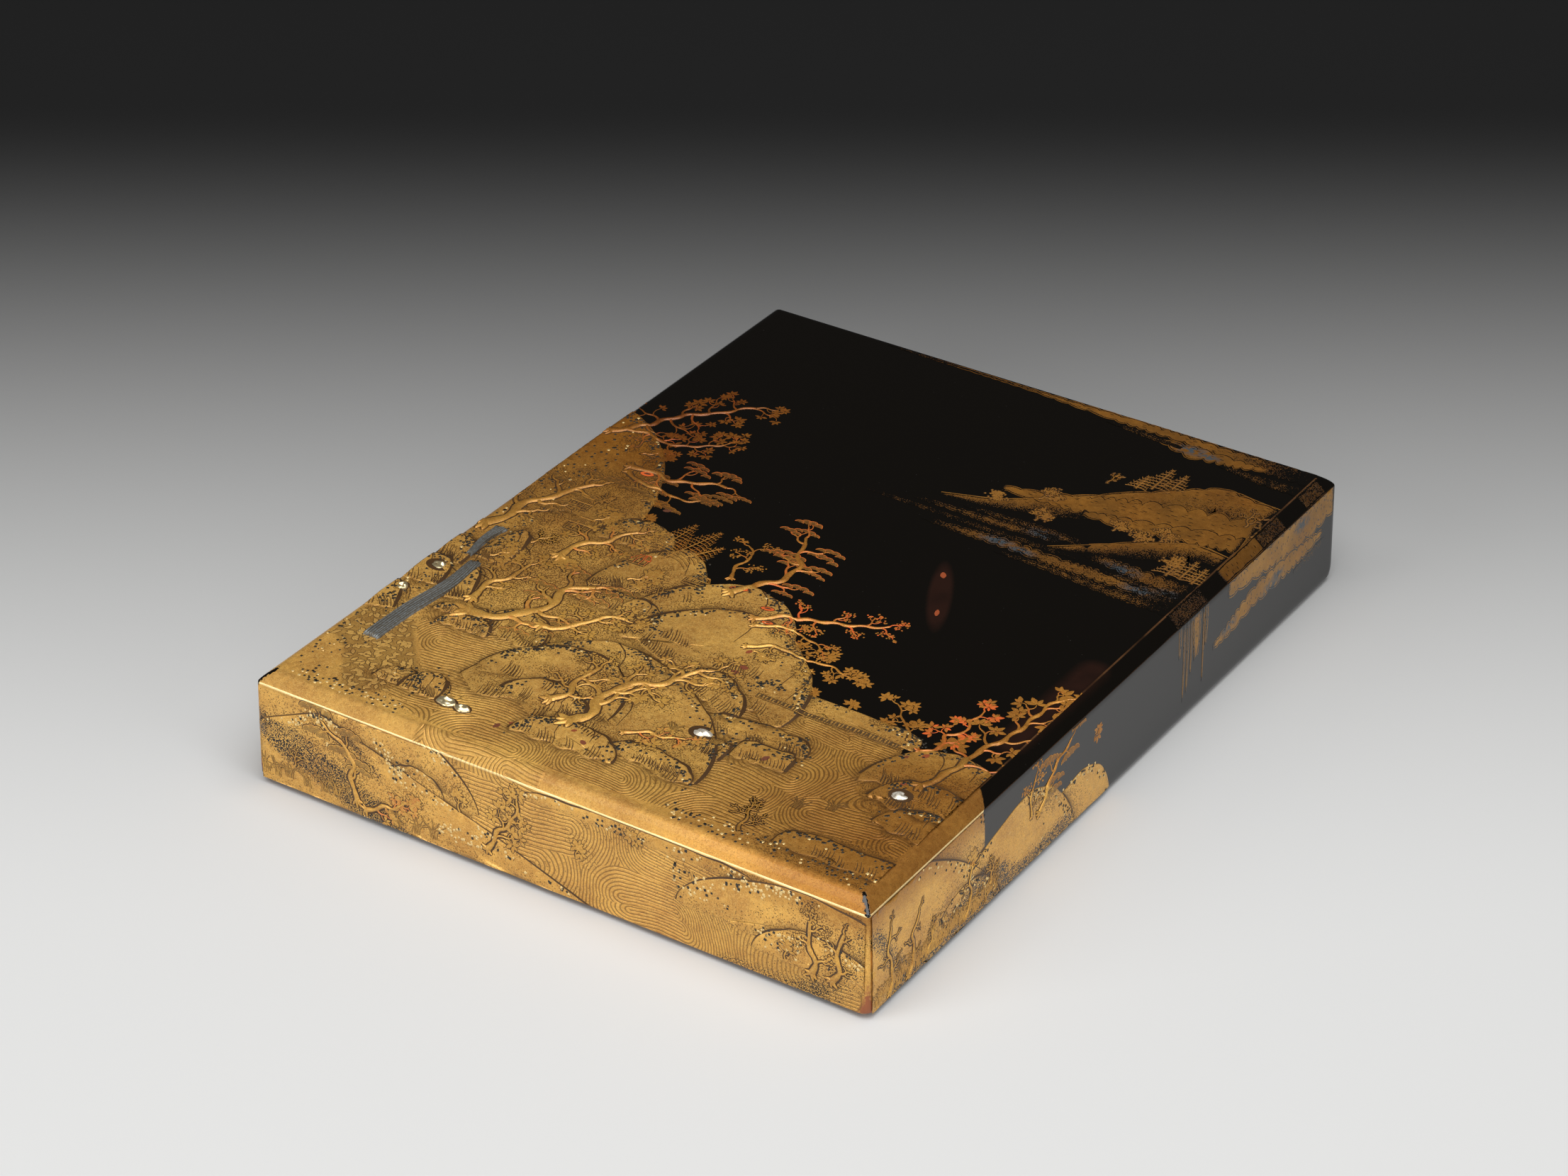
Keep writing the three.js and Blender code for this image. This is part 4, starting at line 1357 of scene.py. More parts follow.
# A painted highlight: pale gold along the rounded outer edge of the front and of the near right slope.
polish = np.where((np.abs(z - EDGE_Z + 0.08) < 0.2) & ~on_top & (is_front | (is_right & (y < -68))), 1.0, 0.0)
low = z - RIM_Z
clay = np.where(y < 0, np.clip((3.4 - from_corner - 0.3 * low) / 3, -1, 1), -1)
clay = np.where(low < 0.35, 0.3, clay)
plan3 = np.column_stack([plan, np.zeros(len(plan))])

# %% [markdown]
# ## Water
# Moving water is drawn as bundles of fine parallel lines that bend together, like wood grain with many
# small knots. Each cell of a stretched pattern holds one short bar, and the lines are even rings round it,
# so neighbouring bundles meet in the sharp chevrons of the real drawing.

# %% The lid's finish
KNOT_LONG, KNOT_WIDE = 34.0, 12.0
BAR_SHARE = 0.22
SWAY_X, SWAY_Y = 26.0, 17.0
LINE_PITCH = 1.1
DOT_SIZE = 0.42


def water_lines(r, plan):
    """Height of the water lines, 0 in a groove to 1 on a ridge, on a flat plan in millimetres."""
    sway = r.noise(50, 1.5, at=plan)
    offset = r.add("ShaderNodeCombineXYZ", {"X": r.times(sway, SWAY_X), "Y": r.times(sway, SWAY_Y)})
    moved = r.vectors("ADD", plan, offset.outputs[0])
    squeezed = r.vectors("MULTIPLY", moved, (1 / KNOT_LONG, 1 / KNOT_WIDE, 0.0))
    cell = r.add("ShaderNodeTexVoronoi", {"Vector": squeezed, "Scale": 1.0, "Randomness": 0.9})
    cell.voronoi_dimensions = "2D"
    along, across, _ = r.parts(r.vectors("SUBTRACT", squeezed, cell.outputs["Position"]))
    along = r.math("ABSOLUTE", r.times(along, KNOT_LONG))
    along = r.most(r.minus(along, BAR_SHARE * KNOT_LONG), 0.0)
    across = r.times(across, KNOT_WIDE)
    rings = r.math("SQRT", r.plus(r.math("POWER", along, 2.0), r.math("POWER", across, 2.0)))
    ripple = r.times(r.minus(r.noise(5.0, 1, at=plan), 0.5), 0.8)
    turns = r.math("DIVIDE", r.plus(rings, ripple), LINE_PITCH)
    return r.ramp(r.math("PINGPONG", turns, 0.5), 0.09, 0.26)


def stipple(r, amount):
    """Fine brown dots. amount is the share of dots that show."""
    spot = r.add("ShaderNodeTexVoronoi", {"Vector": r.place, "Scale": 1 / DOT_SIZE})
    pick = r.add("ShaderNodeSeparateColor", {"Color": spot.outputs["Color"]}).outputs[2]
    shown = r.ramp(r.minus(amount, pick), -0.05, 0.05)
    return r.times(shown, r.ramp(spot.outputs["Distance"], 0.36, 0.58, 0.82, 0.0))


def lid_finish():
    r = Recipe("gold_and_black_lacquer")
    plan = r.vector("plan")
    fuzz = r.times(r.minus(r.noise(0.8, 3), 0.5), 0.8)
    gold = r.ramp(r.plus(r.number("gold"), fuzz), -0.15, 0.15)
    water = r.ramp(r.number("water"), -0.3, 0.5)
    lines = water_lines(r, plan)
    groove = r.times(r.minus(1.0, lines), water)
    worn = r.ramp(r.plus(r.number("worn"), r.times(fuzz, 2.6)), -0.05, 0.1)
    gold = r.times(gold, r.minus(1.0, worn))
    clay = r.ramp(r.plus(r.number("clay"), r.times(fuzz, 1.2)), 0.1, 0.45)
    shade = r.most(r.times(groove, 0.62), r.times(r.number("shade"), 0.95))
    leafy = r.times(r.ramp(r.number("leafy"), -0.5, 0.8), 0.42)
    shade = r.most(shade, leafy)
    dusk = r.times(r.number("dust"), r.minus(1.0, r.times(water, 0.7)))
    wide_dusk = r.times(r.ramp(r.number("dusky"), -3.0, 4.0), r.ramp(r.noise(11, 2), 0.35, 0.6, 0.35, 0.85))
    dusk = r.most(dusk, wide_dusk)
    shade = r.most(shade, stipple(r, dusk))
    gold = r.times(gold, r.sprinkle(r.number("dense")))

    # Painted highlight along the outer edge, in pale gold.
    polish = r.times(r.ramp(r.number("polish"), 0.75, 0.95), r.ramp(r.noise(18, 3), 0.3, 0.5, 0.5, 1.0))

    def tinted(gold_tone):
        bright = r.mix(polish, gold_tone, (0.95, 0.72, 0.34))
        return r.mix(clay, bright, (0.33, 0.11, 0.045))

    # Red-brown undercoat that glows through thin black in two places
    streak = r.times(r.ramp(r.number("streak"), 0.2, 0.8), r.ramp(r.noise(9, 2), 0.2, 0.6, 0.45, 1.0))
    black = r.mix(r.times(streak, 0.7), BLACK, (0.022, 0.008, 0.005))
    dust = r.times(r.ramp(r.cells(2.6), 0.0, 0.05, 1.0, 0.0), r.ramp(r.noise(5, 2), 0.5, 0.65))
    black = r.mix(r.times(dust, 0.35), black, (0.25, 0.24, 0.22))
    rubbed = r.times(r.ramp(r.number("ridge"), 0.72, 0.86), r.ramp(r.noise(12, 3), 0.35, 0.6, 0.15, 0.8))
    black = r.mix(rubbed, black, (0.10, 0.045, 0.018))
    height = r.times(r.times(lines, water), 1.3)
    return lacquer(r, gold, shade, height, tinted, black, light=0.4)


# The two red-brown places: one lies across the plain black, one beside the right edge
flat_place = np.column_stack([x, y])
off_middle = np.hypot(to_line(flat_place, (24, 30), (50, -22)) / 3.2, (y - 0.45 * x + 10) / 18)
by_edge = to_line(flat_place, (88.5, -45), (89, -3)) / 5
streak = np.maximum(np.clip(2.2 - 1.7 * off_middle, 0, 1), 0.9 * np.clip(1.3 - by_edge, 0, 1))
lid = add_mesh(
    "lid_shell",
    points,
    faces,
    lid_finish(),
    {
        **region, "shade": shade, "dust": dust, "polish": polish, "dense": dense, "worn": worn,
        "clay": clay, "streak": streak, "ridge": ridge, "plan": plan3,
    },
)
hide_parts("lid")

# %% [markdown]
# ## Gold on the hills
# The raised hills have the same gold as the ground. Their rounded edge is brown, a painted shade that keeps
# it from catching the light, and a painted brown shadow lies beside every higher hill. They are painted
# darker low down, as shade, and fine brown dots gather low down and behind whatever stands nearer.

# %% The hills' finish
def hill_finish():
    r = Recipe("raised_gold")
    up, edge = r.number("up"), r.number("edge")
    # Each hill is painted darker low down, as shade.
    low = r.ramp(r.plus(up, r.times(r.noise(6, 2), 0.7)), 0.25, 1.1, 1.0, 0.0)
    dark = r.most(r.times(low, 0.26), r.times(r.number("shade"), 0.95))
    # The rounded edge is painted brown, a painted shade that keeps it from catching the light.
    dark = r.most(dark, r.ramp(edge, 0.0, 0.3, 0.85, 0.0))
    dark = r.most(dark, stipple(r, r.most(r.number("dust"), r.ramp(low, 0.45, 1.0, 0.0, 0.42))))
    return lacquer(r, r.sprinkle(r.number("dense")), dark, light=0.5)


raised_gold = hill_finish()
for face in HILLS:
    shapes = Shapes()
    for hill in HILLS[face]:
        hill_shape(shapes, face, hill)
    shapes.make(face + "_hills", raised_gold)

# %% [markdown]
# ## Hollows and chips
# Old trunks have a hollow at the foot, painted red with a dark heart. Small chips have come off the gold
# along the rocks, and two on the plain black show the red undercoat.

# %% Red hollows and chips
for at, turn, long, wide in (
    ((-68, 16), 0.2, 4.2, 2.4), ((-11, -21.5), 0.3, 6, 2.2),
    ((1, -26), 0.2, 4, 1.9), ((5, -32), 0.2, 3.6, 1.7),
):
    at = np.array(at, float)
    art["top"].dome(at, turn, long, wide, 0.05, 12, 0.2, 0.25, red=1.0)
    art["top"].dome(at + [0, 0.1], turn, long * 0.66, wide * 0.56, 0.12, 12, 0.2, 0, red=0.5, dark=0.85)
rng = random.Random(9)
for at in (
    (9, -47), (12, -54), (11, -57), (-24, -108), (-27, -111), (-8, -103), (-3, -106), (40, -86), (70, -66),
    (74, -63), (76, -77), (-52, 3),
):
    size, turn, dark = rng.uniform(1.0, 2.0), rng.uniform(0, 3), rng.uniform(0.6, 0.9)
    art["top"].dome(np.array(at, float), turn, size * 1.5, size, 0.0, 9, 0.3, 0, red=0.7, dark=dark)
# Two chips of red undercoat on the black, inside the red-brown place
for at, turn, long, wide in (((31, 16), -1.0, 3.2, 1.8), ((39.7, -1.5), -1.2, 3.4, 1.4)):
    art["top"].dome(np.array(at, float), turn, long, wide, 0.0, 9, 0.3, 0, red=0.7, dark=0.55)

# %% [markdown]
# ## Finish of the drawn lines
# Drawn lines are the same gold powder, a little duller, and deeper where they lie on black. Some twigs and
# blossom were touched with red lacquer. The wider line below them is plain brown: painted shadow, partly a
# dark outline.

# %% The drawn gold's finish
def drawn_finish():
    r = Recipe("drawn_gold")
    gold, grain, small = gold_colour(r, 0.0, 0.6)
    gold = r.mix(1.0, gold, (0.73, 0.70, 0.58), "MULTIPLY")
    gold = r.mix(r.number("on_black"), gold, (0.78, 0.62, 0.45), "MULTIPLY")
    red = r.ramp(r.plus(r.number("red"), r.times(r.noise(1.5, 2), 0.4)), 0.35, 0.8)
    tone = r.mix(red, gold, RED)
    tone = r.mix(r.ramp(r.number("dark"), 0.0, 1.0), tone, (0.030, 0.025, 0.017))
    tone = r.mix(r.ramp(r.number("dark"), 0.0, -1.0), tone, (0.74, 0.53, 0.22))
    normal = r.bump(r.plus(r.times(grain, 0.3), small), 0.06, 0.7)
    metal = r.blend(red, 0.5, 0.1)
    coat = {"Coat_Weight": 0.15, "Coat_Roughness": 0.15}
    return r.finish(Base_Color=tone, Metallic=metal, Roughness=0.46, Normal=normal, **coat)


# Plain brown for the lines under the picture: painted shadow, partly dark outlines and drawn strokes.
def line_and_shadow_finish():
    r = Recipe("brown_lines_and_painted_shadow")
    line = r.mix(r.noise(3, 2), (0.10, 0.048, 0.016), (0.055, 0.028, 0.011))
    return r.finish(Base_Color=line, Metallic=0.4, Roughness=0.45)


drawn_gold, brown_lines_and_painted_shadow = drawn_finish(), line_and_shadow_finish()
make_drawings("trees_and_cut_gold", [art["top"]], drawn_gold)
make_drawings("wall_trees_and_cut_gold", [art[face] for face in WALL_HILLS], drawn_gold)
make_drawings("brown_lines_and_painted_shadows", list(lines_and_shadows.values()), brown_lines_and_painted_shadow, only_on_gold=True)

# %% [markdown]
# ## Far hills and mist
# On the right, far hills and mist are only painted: gold powder dusted through a tube on the wet black,
# thick along a crest and thinning below. Each is a thin flush film, whose density says how close the
# grains lie. Blue-grey flecks are thin silver that has tarnished.

# %% Bands of powder
FILM_ACROSS = 9


class Powder(Shapes):
    """Flush films of gold powder on one face."""

    def __init__(self, face):
        super().__init__()
        self.face, self.level = face, 0.02

    def band(self, path, half, lobe=2.4, deep=0.5, dense=1.0, blue=(), fade=(0.0, 0.0), ends=0.12, seed=1):
        """Mist along a path. half: half widths. fade: thinning at the lower and the upper edge."""
        path = np.array(path, float)
        middle, s, far = resample(path, 0.35, 24)
        wide = np.interp(s, far, np.broadcast_to(half, len(path)))
        rough = random.Random(seed)
        edges = []
        for way_out in (-1, 1):
            drift = 2.1 * np.sin(s / (1.7 * lobe) + seed) + 0.8 * np.sin(s / (0.8 * lobe) + 2 * seed)
            wave = np.abs(np.sin(np.pi * s / lobe + drift)) ** 0.7
            slow = 0.5 + 0.5 * np.sin(s / (1.9 * lobe) + seed * 1.7 + way_out + rough.random())
            edges.append(way_out * wide * (1 + deep * (wave - 0.6) + 0.6 * deep * (slow - 0.5)))
            seed += 5
        t = np.linspace(0, 1, FILM_ACROSS)
        offset = edges[0][:, None] * (1 - t) + edges[1][:, None] * t
        flat = middle[:, None] + sideways(middle)[:, None] * offset[:, :, None]
        amount = np.full((len(s), FILM_ACROSS), dense)
        amount *= 1 - fade[0] * (1 - t) - fade[1] * t
        taper = np.clip(np.minimum(s, far[-1] - s) / (ends * far[-1] + 1e-6), 0, 1)
        amount *= taper[:, None] ** 0.7
        spots = np.zeros((len(s), FILM_ACROSS))
        for a, b, size in blue:
            d = np.hypot((flat[..., 0] - a) / 2.2, flat[..., 1] - b)
            spots = np.maximum(spots, np.clip(1.4 - d / size, 0, 1))
        rim = np.minimum(t, 1 - t)[None] * np.abs(edges[1] - edges[0])[:, None]
        self.level += 0.004
        faces = grid_faces(len(s), FILM_ACROSS)
        flat = flat.reshape(-1, 2)
        low_a, high_a, low_b, high_b = POWDER_LIMITS[self.face]
        flat = np.clip(flat, (low_a, low_b), (high_a, high_b))
        points = lay(self.face, flat[:, 0], flat[:, 1], self.level)
        # dim marks the right slope, whose films are painted darker as a dark reflection; lit marks the walls,
        # whose films are painted paler and greyer as a reflection of the pale table.
        dim = 1.0 if self.face == "right_slope" else 0.0
        lit = 1.0 if "wall" in self.face else 0.0
        self.add(points, faces, dense=amount.ravel(), blue=spots.ravel(), rim=rim.ravel(), dim=dim, lit=lit)


POWDER_LIMITS = {
    "top": (-FLAT_X, FLAT_X, -FLAT_Y, FLAT_Y),
    "right_slope": (-LENGTH / 2 + 5, LENGTH / 2 - 4.2, 0.25, SLOPE - 0.1),
    "right_wall": (-LENGTH / 2 + 1, LENGTH / 2 - 1, 0.5, WALL - 0.05),
    "back_wall": (-WIDTH / 2 + 1.2, WIDTH / 2 - 1.2, 0.5, WALL - 0.3),
}
films = {face: Powder(face) for face in POWDER_LIMITS}
top = films["top"]
# the far ridge, then the nearer ridge, bright along the crest
top.band(
    [(7, 53.5), (24, 57.5), (40, 66), (60, 79), (76, 90), (86, 90), (92, 90)],
    (0.8, 2.5, 6, 9, 10, 8, 8),
    9, 0.12, 0.95, fade=(0.75, 0), ends=0.03, seed=2,
)
top.band(
    [(47, 44.5), (58, 50), (70, 57), (82, 64), (92, 64)],
    (0.5, 3, 5, 5, 3),
    9, 0.12, 0.9, fade=(0.85, 0), ends=0.03, seed=3,
)
# cloud across the far ridge
top.band(
    [(20, 66), (34, 68), (50, 72), (70, 77), (92, 82)],
    (1.5, 3, 5.5, 7, 8),
    5.5, 0.45, 1.0, ends=0.03, seed=4,
)
top.band([(46, 66), (60, 68), (78, 72), (92, 74)], (1.5, 3.5, 4, 4), 4.5, 0.5, 1.0, ends=0.05, seed=7)
# mist near the water, in long streaks, with spots of tarnished silver: along, up, size
SILVER_SPOTS = ((43, 49.5, 2.4), (34, 40, 2.2), (42, 38.5, 2), (70, 45, 2.6), (80, 38.5, 2.4), (88, 41, 2))
for path, half, dense, seed in (
    ([(-12, 44.5), (20, 44), (58, 43.5)], (0.5, 1.0, 0.8), 0.36, 1),
    ([(2, 48), (28, 48.5), (50, 49)], (0.6, 1.6, 1.4), 0.5, 2),
    ([(16, 51.5), (38, 52), (57, 51)], (0.6, 1.5, 1.2), 0.42, 3),
    ([(10, 39.5), (40, 39.5), (66, 39), (92, 38.5)], (0.9, 2.3, 2.4, 3.0), 0.62, 4),
    ([(36, 35), (60, 34.5), (92, 32.5)], (0.5, 1.5, 1.8), 0.45, 5),
    ([(58, 47), (74, 46), (92, 44)], (1.2, 2.8, 3.2), 0.55, 6),
    ([(66, 41.5), (80, 41), (92, 40)], (0.8, 1.6, 1.8), 0.4, 7),
):
    top.band(path, half, 3.2, 0.55, dense, SILVER_SPOTS, ends=0.2, seed=seed)
# mist along the far edge
top.band(
    [(-52, 120.2), (0, 119.6), (40, 118.6), (92, 117.5)],
    (0.3, 0.9, 2.2, 3.4),
    5, 0.5, 0.95, ends=0.3, seed=8,
)
top.band(
    [(44, 114.5), (56, 112.5), (70, 114), (80, 116)],
    (0.8, 3.2, 2.6, 1),
    4.2, 0.6, 0.95, ((55, 114, 2.4), (61, 113, 1.6)), ends=0.08, seed=9,
)
top.band([(26, 115.5), (40, 114.5), (52, 113.5)], (0.5, 1.1, 0.8), 3, 0.4, 0.35, ends=0.3, seed=10)
top.band([(66, 110.5), (80, 109.5), (92, 109)], (0.6, 1.8, 2), 3, 0.4, 0.35, ends=0.2, seed=11)
# the same mist where it turns over the edge and down the right wall
slope = films["right_slope"]
for a0, a1, dense in ((31, 49, 0.45), (59, 82, 0.95), (81, 95, 0.5), (107, 119, 0.5)):
    slope.band([(a0, 2.6), ((a0 + a1) / 2, 2.6), (a1, 2.6)], 2.6, 6, 0.1, dense, ends=0.06, seed=int(a0))
wall = films["right_wall"]
wall.band(
    [(60, 27.5), (78, 27), (96, 26), (110, 25.5), (124, 26)],
    (2.6, 4, 4.4, 5, 4.5),
    5.5, 0.34, 1.0, ((104, 27, 2),), ends=0.03, seed=3,
)
wall.band(
    [(52, 13.5), (62, 15), (76, 18.5), (92, 18.5), (108, 17.5), (118, 18)],
    (0.9, 2.4, 3.4, 3.2, 2.4, 1),
    4.6, 0.45, 1.0, ((61, 16, 2), (86, 15.5, 2.6), (90, 18, 1.6)), ends=0.04, seed=6,
)
wall.band([(100, 13.5), (110, 14), (119, 15)], (0.5, 1.4, 0.8), 3, 0.3, 0.4, ends=0.2, seed=5)
# paint that ran down the wall below the mist
DRIP_TOP = 30
for a, low, wide in (
    (32.5, 20, 0.7), (35, 5, 0.45), (37, 7, 0.6), (39, 12, 0.5), (42, 15, 2.0), (46, 6, 0.4), (47.5, 17, 0.8),
):
    path = [(a, DRIP_TOP), (a + 0.2, (DRIP_TOP + low) / 2), (a, low)]
    wall.band(path, (wide * 1.15, wide, wide * 0.5), 3, 0.15, 0.8, ends=0.12, seed=int(a))
films["back_wall"].band(
    [(-60, 22), (-20, 24), (30, 20), (70, 22)],
    (1, 3, 4, 1.5),
    6, 0.5, 0.9, ends=0.15, seed=4,
)


def powder_finish():
    r = Recipe("gold_powder")
    dense = r.plus(r.number("dense"), r.times(r.minus(r.noise(3.5, 3), 0.5), 0.5))
    rim = r.number("rim")
    line = r.minus(r.ramp(rim, 0.25, 0.4, 1.1, 0.0), r.ramp(rim, 0.5, 0.85, 1.1, 0.0))
    dense = r.plus(dense, r.times(line, r.ramp(r.number("dense"), 0.3, 0.7)))
    share = r.sprinkle(dense)
    tick_place = r.vectors("MULTIPLY", r.place, (0.55, 1.9, 1.0))
    ticks = r.ramp(r.cells(1.9, at=tick_place), 0.17, 0.27, 1.0, 0.0)
    share = r.times(share, r.minus(1.0, r.times(ticks, 0.85)))
    flecks = r.times(r.number("blue"), r.ramp(r.noise(1.6, 3), 0.40, 0.5))
    thin_powder_and_shade = r.ramp(r.number("dense"), 0.35, 0.95, 0.62, 0.24)
    # The right slope also gets painted shade.
    thin_powder_and_shade = r.plus(thin_powder_and_shade, r.times(r.number("dim"), 0.4))

    def tarnish_and_painted_light(gold):
        # This tint is painted light: paler and greyer on the walls, darker on the right slope. Real tarnish
        # and silver flecks follow.
        tint = r.mix(r.number("lit"), (0.60, 0.46, 0.30), (0.74, 0.68, 0.60))
        tint = r.mix(r.number("dim"), tint, (0.55, 0.42, 0.26))
        old = r.mix(r.ramp(r.noise(8, 3), 0.3, 0.7, 0.0, 0.75), gold, (0.30, 0.17, 0.05))
        old = r.mix(1.0, old, tint, "MULTIPLY")
        return r.mix(flecks, old, BLUE_GREY)

    return lacquer(r, share, thin_powder_and_shade, colour=tarnish_and_painted_light, light=0.2)


powder = Shapes()
for film in films.values():
    values = {key: np.concatenate(v) for key, v in film.values.items()}
    powder.add(np.concatenate(film.points), film.faces, **values)
powder.make("far_hills_and_mist", powder_finish())

# %% Trees far off, drawn over the powder
# behind gathers the wider brown lines under the far trees: painted shadow round them, partly outlines.
behind = Drawing("top")
far = Drawing("top", behind)
rng = random.Random(5)
for a, b, tall in (
    (21, 58, 7), (32, 66, 9), (37, 55, 9), (44, 84, 10), (66, 60, 8), (72, 64, 9), (58, 62, 8), (88, 84, 15),
    (80, 52, 9), (92, 80, 12),
):
    limb(far, rng, (a, b), 1.5, tall * 0.5, 0.45, "dotted" if tall < 10 else "bare", 2, 0.15, 1.5)
for a, b, tall in ((56, 88, 13), (61, 91, 9), (52, 86, 8), (82, 49, 11), (86, 50, 10), (90, 49, 9)):
    cedar(far, rng, np.array([a, b], float), 1.55, tall, 0.1)
far.line(smooth([(7, 54.2), (24, 60), (40, 72), (60, 88.5), (75, 100.5), (85, 98.5), (92, 98)]), 0.3, 0.08, 0)
far.line(smooth([(47, 45), (58, 53), (70, 62), (82, 69), (92, 67)]), 0.26, 0.08, 0)
# far trees are drawn thinner and look dimmer
far.values["dark"] = [np.maximum(dark, 0.3) for dark in far.values["dark"]]
make_drawings("far_trees", [far], drawn_gold, lift=0.07)
make_drawings("far_tree_painted_shadows", [behind], brown_lines_and_painted_shadow, lift=0.075)

# %% [markdown]
# ## Metal inlays and the tray
# The falling water is a strip of soft grey metal, combed lengthwise while it was laid. The nuggets are
# crumpled leaf of gold and silver pressed over a core, so they are lumpy and very bright.

# %% Shapes of the inlays
# the points it runs through in per cent, and its widths at the root and the tip
STREAMS = {
    "upper_stream_inlay": ([(-88.5, -24.4), (-88.8, -30.4), (-87.5, -37.6)], 4.4, 1.8),
    "lower_stream_inlay": ([(-83.3, -39.2), (-82.3, -49.6), (-83.9, -62.4), (-84.4, -76)], 3.4, 5.4),
}
LUMPS = 18
# place in per cent, width, length, height, how many lobes
NUGGETS = {
    "cliff_nugget_upper": ((-90.8, -45.2), 6, 4.2, 1.7, 5),
    "cliff_nugget_lower": ((-93.3, -56), 3.2, 3.6, 1.5, 4),
    "shore_nugget_left": ((-46.5, -87.4), 5.6, 3.5, 1.2, 5),
    "shore_nugget_right": ((-40.8, -87.7), 4.4, 3, 1.1, 4),
    "centre_nugget": ((20.8, -68.3), 6, 4.4, 1.5, 3),
    "island_nugget": ((81.2, -65.2), 5.4, 3.8, 1.7, 3),
}


def curve_through(points, steps):
    """An even soft curve through all the points."""
    points = np.array(points, float)
    out = []
    for t in np.linspace(0, len(points) - 1, steps):
        i = min(int(t), len(points) - 2)
        u = t - i
        p = points[np.clip([i - 1, i, i + 1, i + 2], 0, len(points) - 1)]
        pull0, pull1 = (p[2] - p[0]) / 2, (p[3] - p[1]) / 2
        bend = (2 * p[1] - 2 * p[2] + pull0 + pull1) * u**3
        out.append(bend + (-3 * p[1] + 3 * p[2] - 2 * pull0 - pull1) * u**2 + pull0 * u + p[1])
    return np.array(out)


def combed_stream(name, through, root, tip):
    """A strip whose top is combed in uneven ridges that run down its length."""
    rows, columns = 60, 45
    path = curve_through([of_cover(p) for p in through], rows)
    side = sideways(path)
    ahead = np.column_stack([side[:, 1], -side[:, 0]])
    t, across = np.linspace(0, 1, rows)[:, None], np.linspace(-1, 1, columns)[None]
    half = (root + (tip - root) * np.sqrt(t)) / 2
    ragged = 0.9 * np.sin(across * 23 + 1) * (t - 0.5) ** 3 * 4
    flat = path[:, None] + (side[:, None] * (half * across)[:, :, None])
    flat = flat + ahead[:, None] * ragged[:, :, None]
    comb = 0.17 * np.abs(np.sin(across * 11 + 0.8 * np.sin(5 * t + across * 3)))
    edge = np.sqrt(np.clip(1 - np.maximum(np.abs(across), np.abs(2 * t - 1)) ** 14, 0, 1))
    high = 0.75 * edge + comb * edge + 0.08 * np.sin(9 * t + 4 * across)
    flat, high = flat.reshape(-1, 2), np.broadcast_to(high, (rows, columns)).ravel()
    groove = 1 - np.broadcast_to(comb / comb.max(), (rows, columns)).ravel()
    points = lay("top", flat[:, 0], flat[:, 1], high)
    faces = grid_faces(rows, columns)
    piece = add_mesh(name + "_combed", points, faces, pewter, {"groove": groove})
    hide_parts(name)


def crumpled_nugget(name, at, wide, long, lift, lobes, finish):
    """A lumpy dome with a pinched rim."""
    rows, columns = 22, 56
    rng = random.Random(name)
    lumps = [
        (way(rng.uniform(0, 6.3)) * rng.uniform(0, 0.8), rng.uniform(0.2, 0.36), rng.uniform(-0.22, 0.2))
        for _ in range(LUMPS)
    ]
    turn = np.arange(columns) * 2 * np.pi / columns
    reach = np.linspace(0.03, 1, rows)[:, None]
    unit = np.stack(np.broadcast_arrays(reach * np.cos(turn), reach * np.sin(turn)), -1)
    high = (1 - reach**3.2) * 0.72 + np.zeros((rows, columns))
    for centre, size, deep in lumps:
        high += deep * np.exp(-(((unit - centre) ** 2).sum(-1)) / size**2) * (1 - reach**4)
    high += 0.14 * np.exp(-(((reach - 0.88) / 0.07) ** 2))
    wave = 1 + 0.06 * np.cos(lobes * turn)
    middle = of_cover(at)
    flat = unit * wave[:, None] * (wide * 0.55, long * 0.55) + middle
    points = lay("top", flat[..., 0], flat[..., 1], high * lift - 0.2 * (reach > 0.98)).reshape(-1, 3)
    faces = []
    for start in range(0, (rows - 1) * columns, columns):
        for j in range(columns):
            k = (j + 1) % columns
            faces.append((start + j, start + columns + j, start + columns + k, start + k))
    faces.append(tuple(range(columns)))
    piece = add_mesh(name + "_crumpled", points, faces, finish)
    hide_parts(name)


# %% Metals
def metal_finish(name, tone, deep, rough, metallic=1.0):
    r = Recipe(name)
    small = r.noise(0.7, 4, 0.65)
    light = r.minus(small, r.times(r.number("groove"), 0.45))
    colour = r.mix(r.ramp(light, 0.2, 0.7), deep, tone)
    return r.finish(Base_Color=colour, Metallic=metallic, Roughness=rough, Normal=r.bump(small, 0.04, 0.5))


pewter = metal_finish("pewter", (0.20, 0.225, 0.235), (0.075, 0.06, 0.04), 0.45, 0.4)
bright_gold = metal_finish("gold_metal", (0.93, 0.80, 0.50), (0.5, 0.36, 0.16), 0.3, 0.85)
bright_silver = metal_finish("silver_metal", (0.88, 0.83, 0.71), (0.30, 0.22, 0.14), 0.42, 0.6)
for name, (through, root, tip) in STREAMS.items():
    combed_stream(name, through, root, tip)
# A brown oval a little larger than each nugget lies under it, a dark rim round its foot.
nugget_rims = Drawing("top")
for at, wide, long, lift, lobes in NUGGETS.values():
    nugget_rims.dome(np.array(of_cover(at)), 0, wide * 1.3, long * 1.35, 0.01, 20, 0, 0)
make_drawings("brown_rims_round_nuggets", [nugget_rims], brown_lines_and_painted_shadow, lift=0.03)
for name, (at, wide, long, lift, lobes) in NUGGETS.items():
    is_gold_one = "cliff" in name or "shore" in name
    finish, slot = (bright_gold, "gold_metal") if is_gold_one else (bright_silver, "silver_metal")
    crumpled_nugget(name, at, wide, long, lift, lobes, finish)


